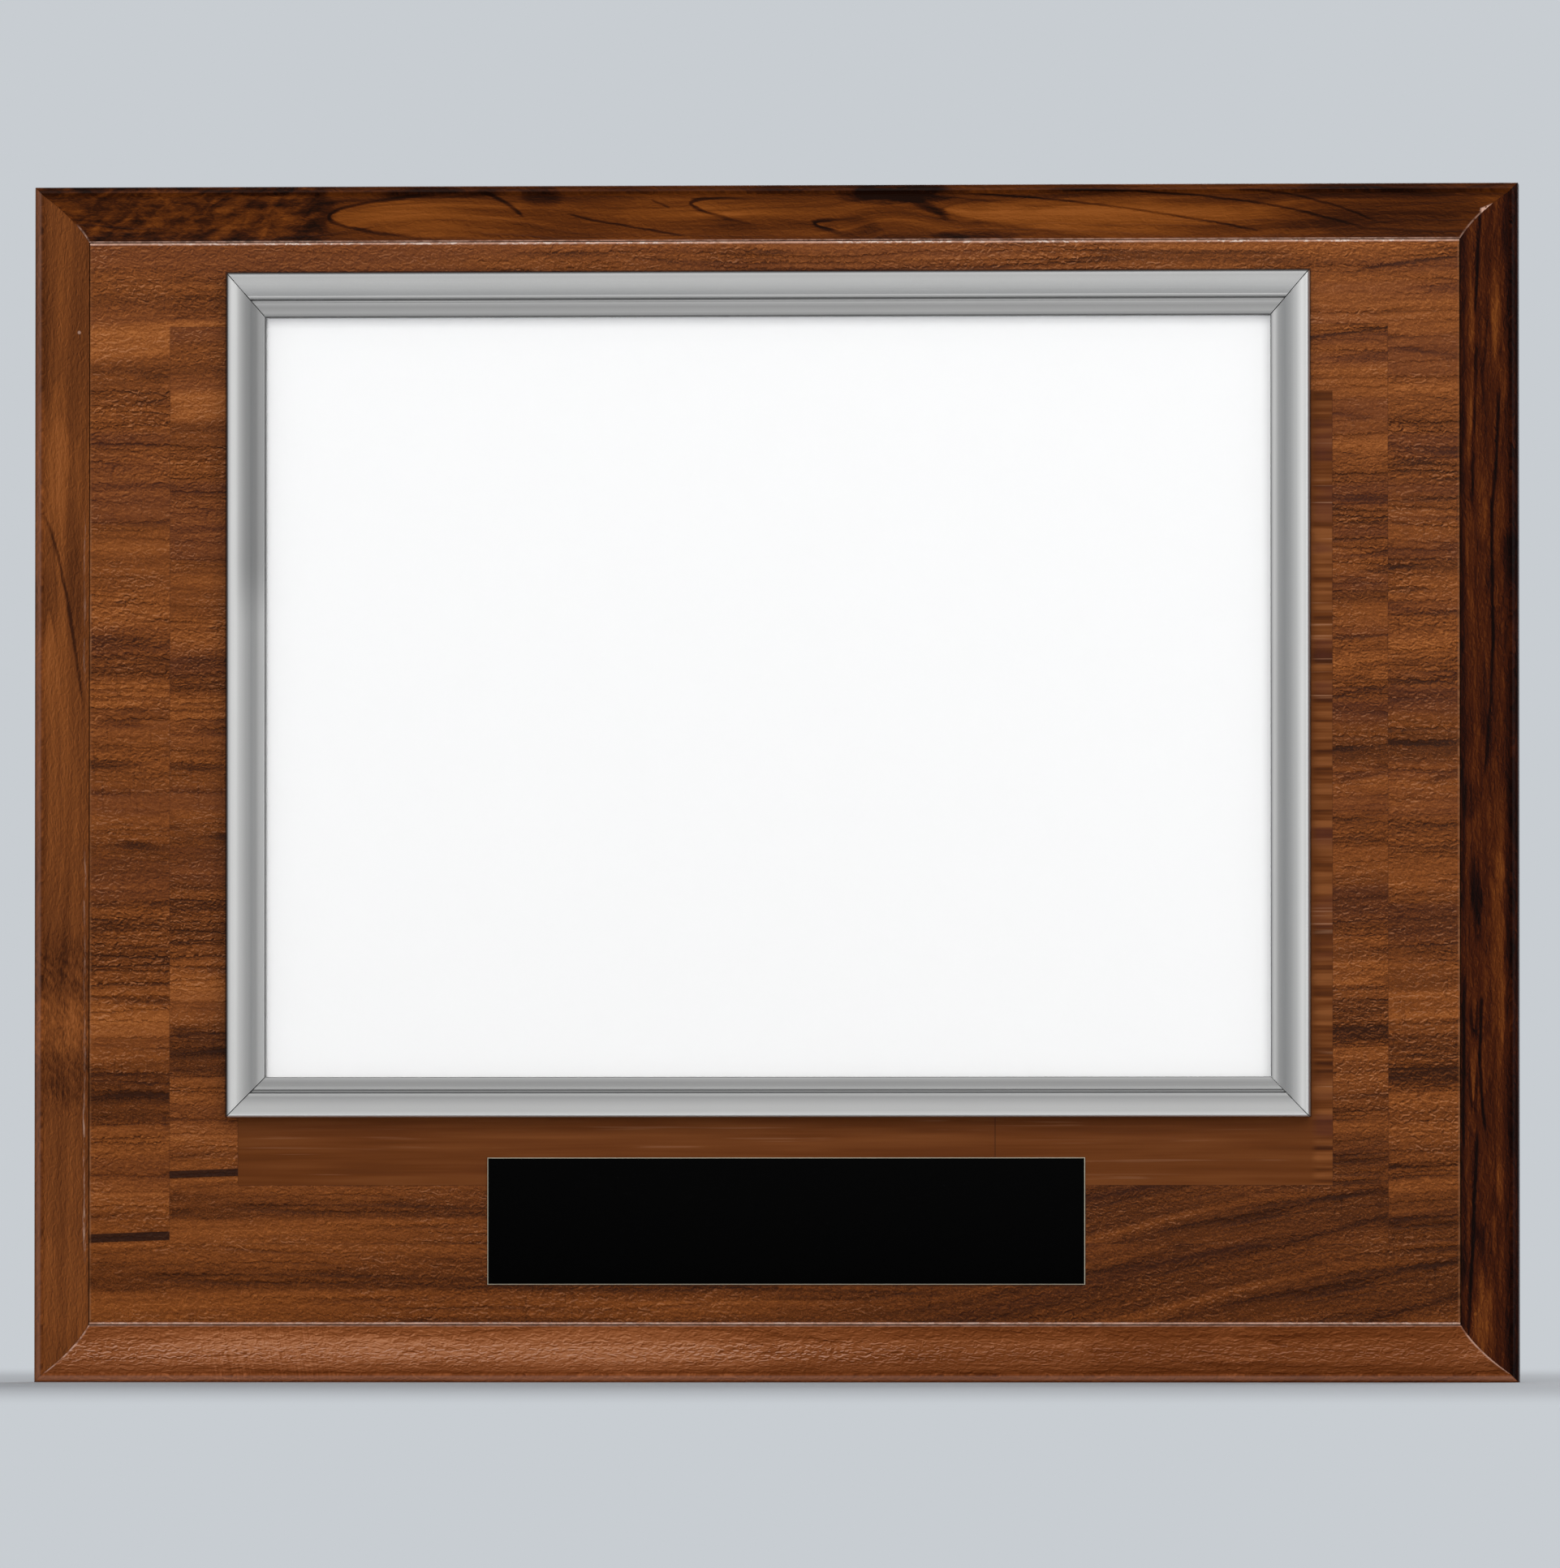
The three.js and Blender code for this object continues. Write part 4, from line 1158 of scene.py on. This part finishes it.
def dress(piece, finish, replaced):
    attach(piece, "plaque")
    giveFinish(piece, finish)
    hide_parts(replaced)


for side, piece in edges.items():
    dress(piece, veneerEdge(side), "edge_" + side)
for side, piece in rails.items():
    dress(piece, drawnSilver(side), "rail_" + side)
dress(face, veneerFace(), "face_sheet")
dress(namePlate, blackPlate(), "engraving_plate")
for name, piece in hardware.items():
    dress(piece, steel, name)

# CAD nodes that stay, with their finish and slot
kept = {"core_panel": (fibre, "fibreboard_core"), "back_sheet": (backLaminate(), "back_laminate"),
        "backing_card": (card, "grey_card"), "certificate": (certificatePaper(), "white_paper"),
        "clear_cover": (clearAcrylic(), "clear_acrylic"), "plate_tape": (tape, "tape")}
for name in nodesOf("corner_key_"):
    kept[name] = (alloy, "key_alloy")
for name, (finish, slot) in kept.items():
    giveFinish(nodes[name], finish)
print("dressed:", len(edges) + len(rails) + len(hardware) + 2, "pieces and", len(kept), "nodes")


# Studio
studio = {
    "background": paint(200, 205, 210), "fill": 0.33,
    "floorColour": paint(203, 207, 212), "floorSize": 60, "floorFade": (0.35, 1.1),
    # lamps: name, size, power, azimuth and elevation in degrees, and distance
    "lamps": [("front", 3, 82, 5, 9, 3.2), ("behind", 1.8, 40, 165, 38, 2.8)],
    # camera: azimuth, elevation, distance and what it looks at
    "camera": (3.5, -1.5, 5, (0.0006, 0, 0.0001)), "lens": 446.8,
}


def aimed(azimuth, elevation, distance, target=(0, 0, 0)):
    # puts the lamp or camera just added at a distance from its target
    a, e = math.radians(azimuth), math.radians(elevation)
    away = Vector((math.sin(a) * math.cos(e), -math.cos(a) * math.cos(e), math.sin(e)))
    made = bpy.context.object
    made.location = Vector(target) + away * distance
    made.rotation_euler = away.to_track_quat("Z", "Y").to_euler()
    return made


def seenDirectly(w):
    # 1 for what the camera sees, also in a reflection or through the cover
    path = w.node("LightPath")
    return greatest(greatest(path.other("Is Camera Ray"), path.other("Is Glossy Ray")),
                    path.other("Is Transmission Ray"))


def studioWorld():
    world = bpy.data.worlds.new("studio")
    bpy.context.scene.world = world
    w = emptyTree(world)
    pale = w.node("Background", {"Color": studio["background"]})
    fill = w.node("Background", {"Color": grey(1), "Strength": studio["fill"]})
    mixOut(seenDirectly(w), fill, pale, "OutputWorld")


def studioFloor():
    deselect()
    bpy.ops.mesh.primitive_plane_add(size=studio["floorSize"], location=(0, 0, cadBox[0].z))
    floor = bpy.context.object
    floor.name = "studioFloor"
    finish = bpy.data.materials.new("studioFloor")
    w = emptyTree(finish)
    spot = w.node("TexCoord", out="Object")
    far = w.node("VectorMath", {0: spot}, {"operation": "LENGTH"}, "Value")
    matt = w.node("BsdfDiffuse", {"Color": studio["floorColour"]})
    glow = w.node("Emission", {"Color": studio["background"]})
    mixOut(smooth(far, *studio["floorFade"]) * seenDirectly(w), matt, glow)
    floor.data.materials.append(finish)


def studioLamps():
    for name, size, power, *spot in studio["lamps"]:
        bpy.ops.object.light_add(type="AREA")
        lamp = aimed(*spot)
        lamp.name = name + "Lamp"
        lamp.data.size = size
        lamp.data.energy = power


def studioCamera():
    bpy.ops.object.camera_add()
    camera = aimed(*studio["camera"])
    camera.data.lens = studio["lens"]
    camera.data.clip_end = 100
    bpy.context.scene.camera = camera


studioWorld()
studioFloor()
studioLamps()
studioCamera()
bpy.context.scene.view_settings.view_transform = "Standard"
print("studio ready")
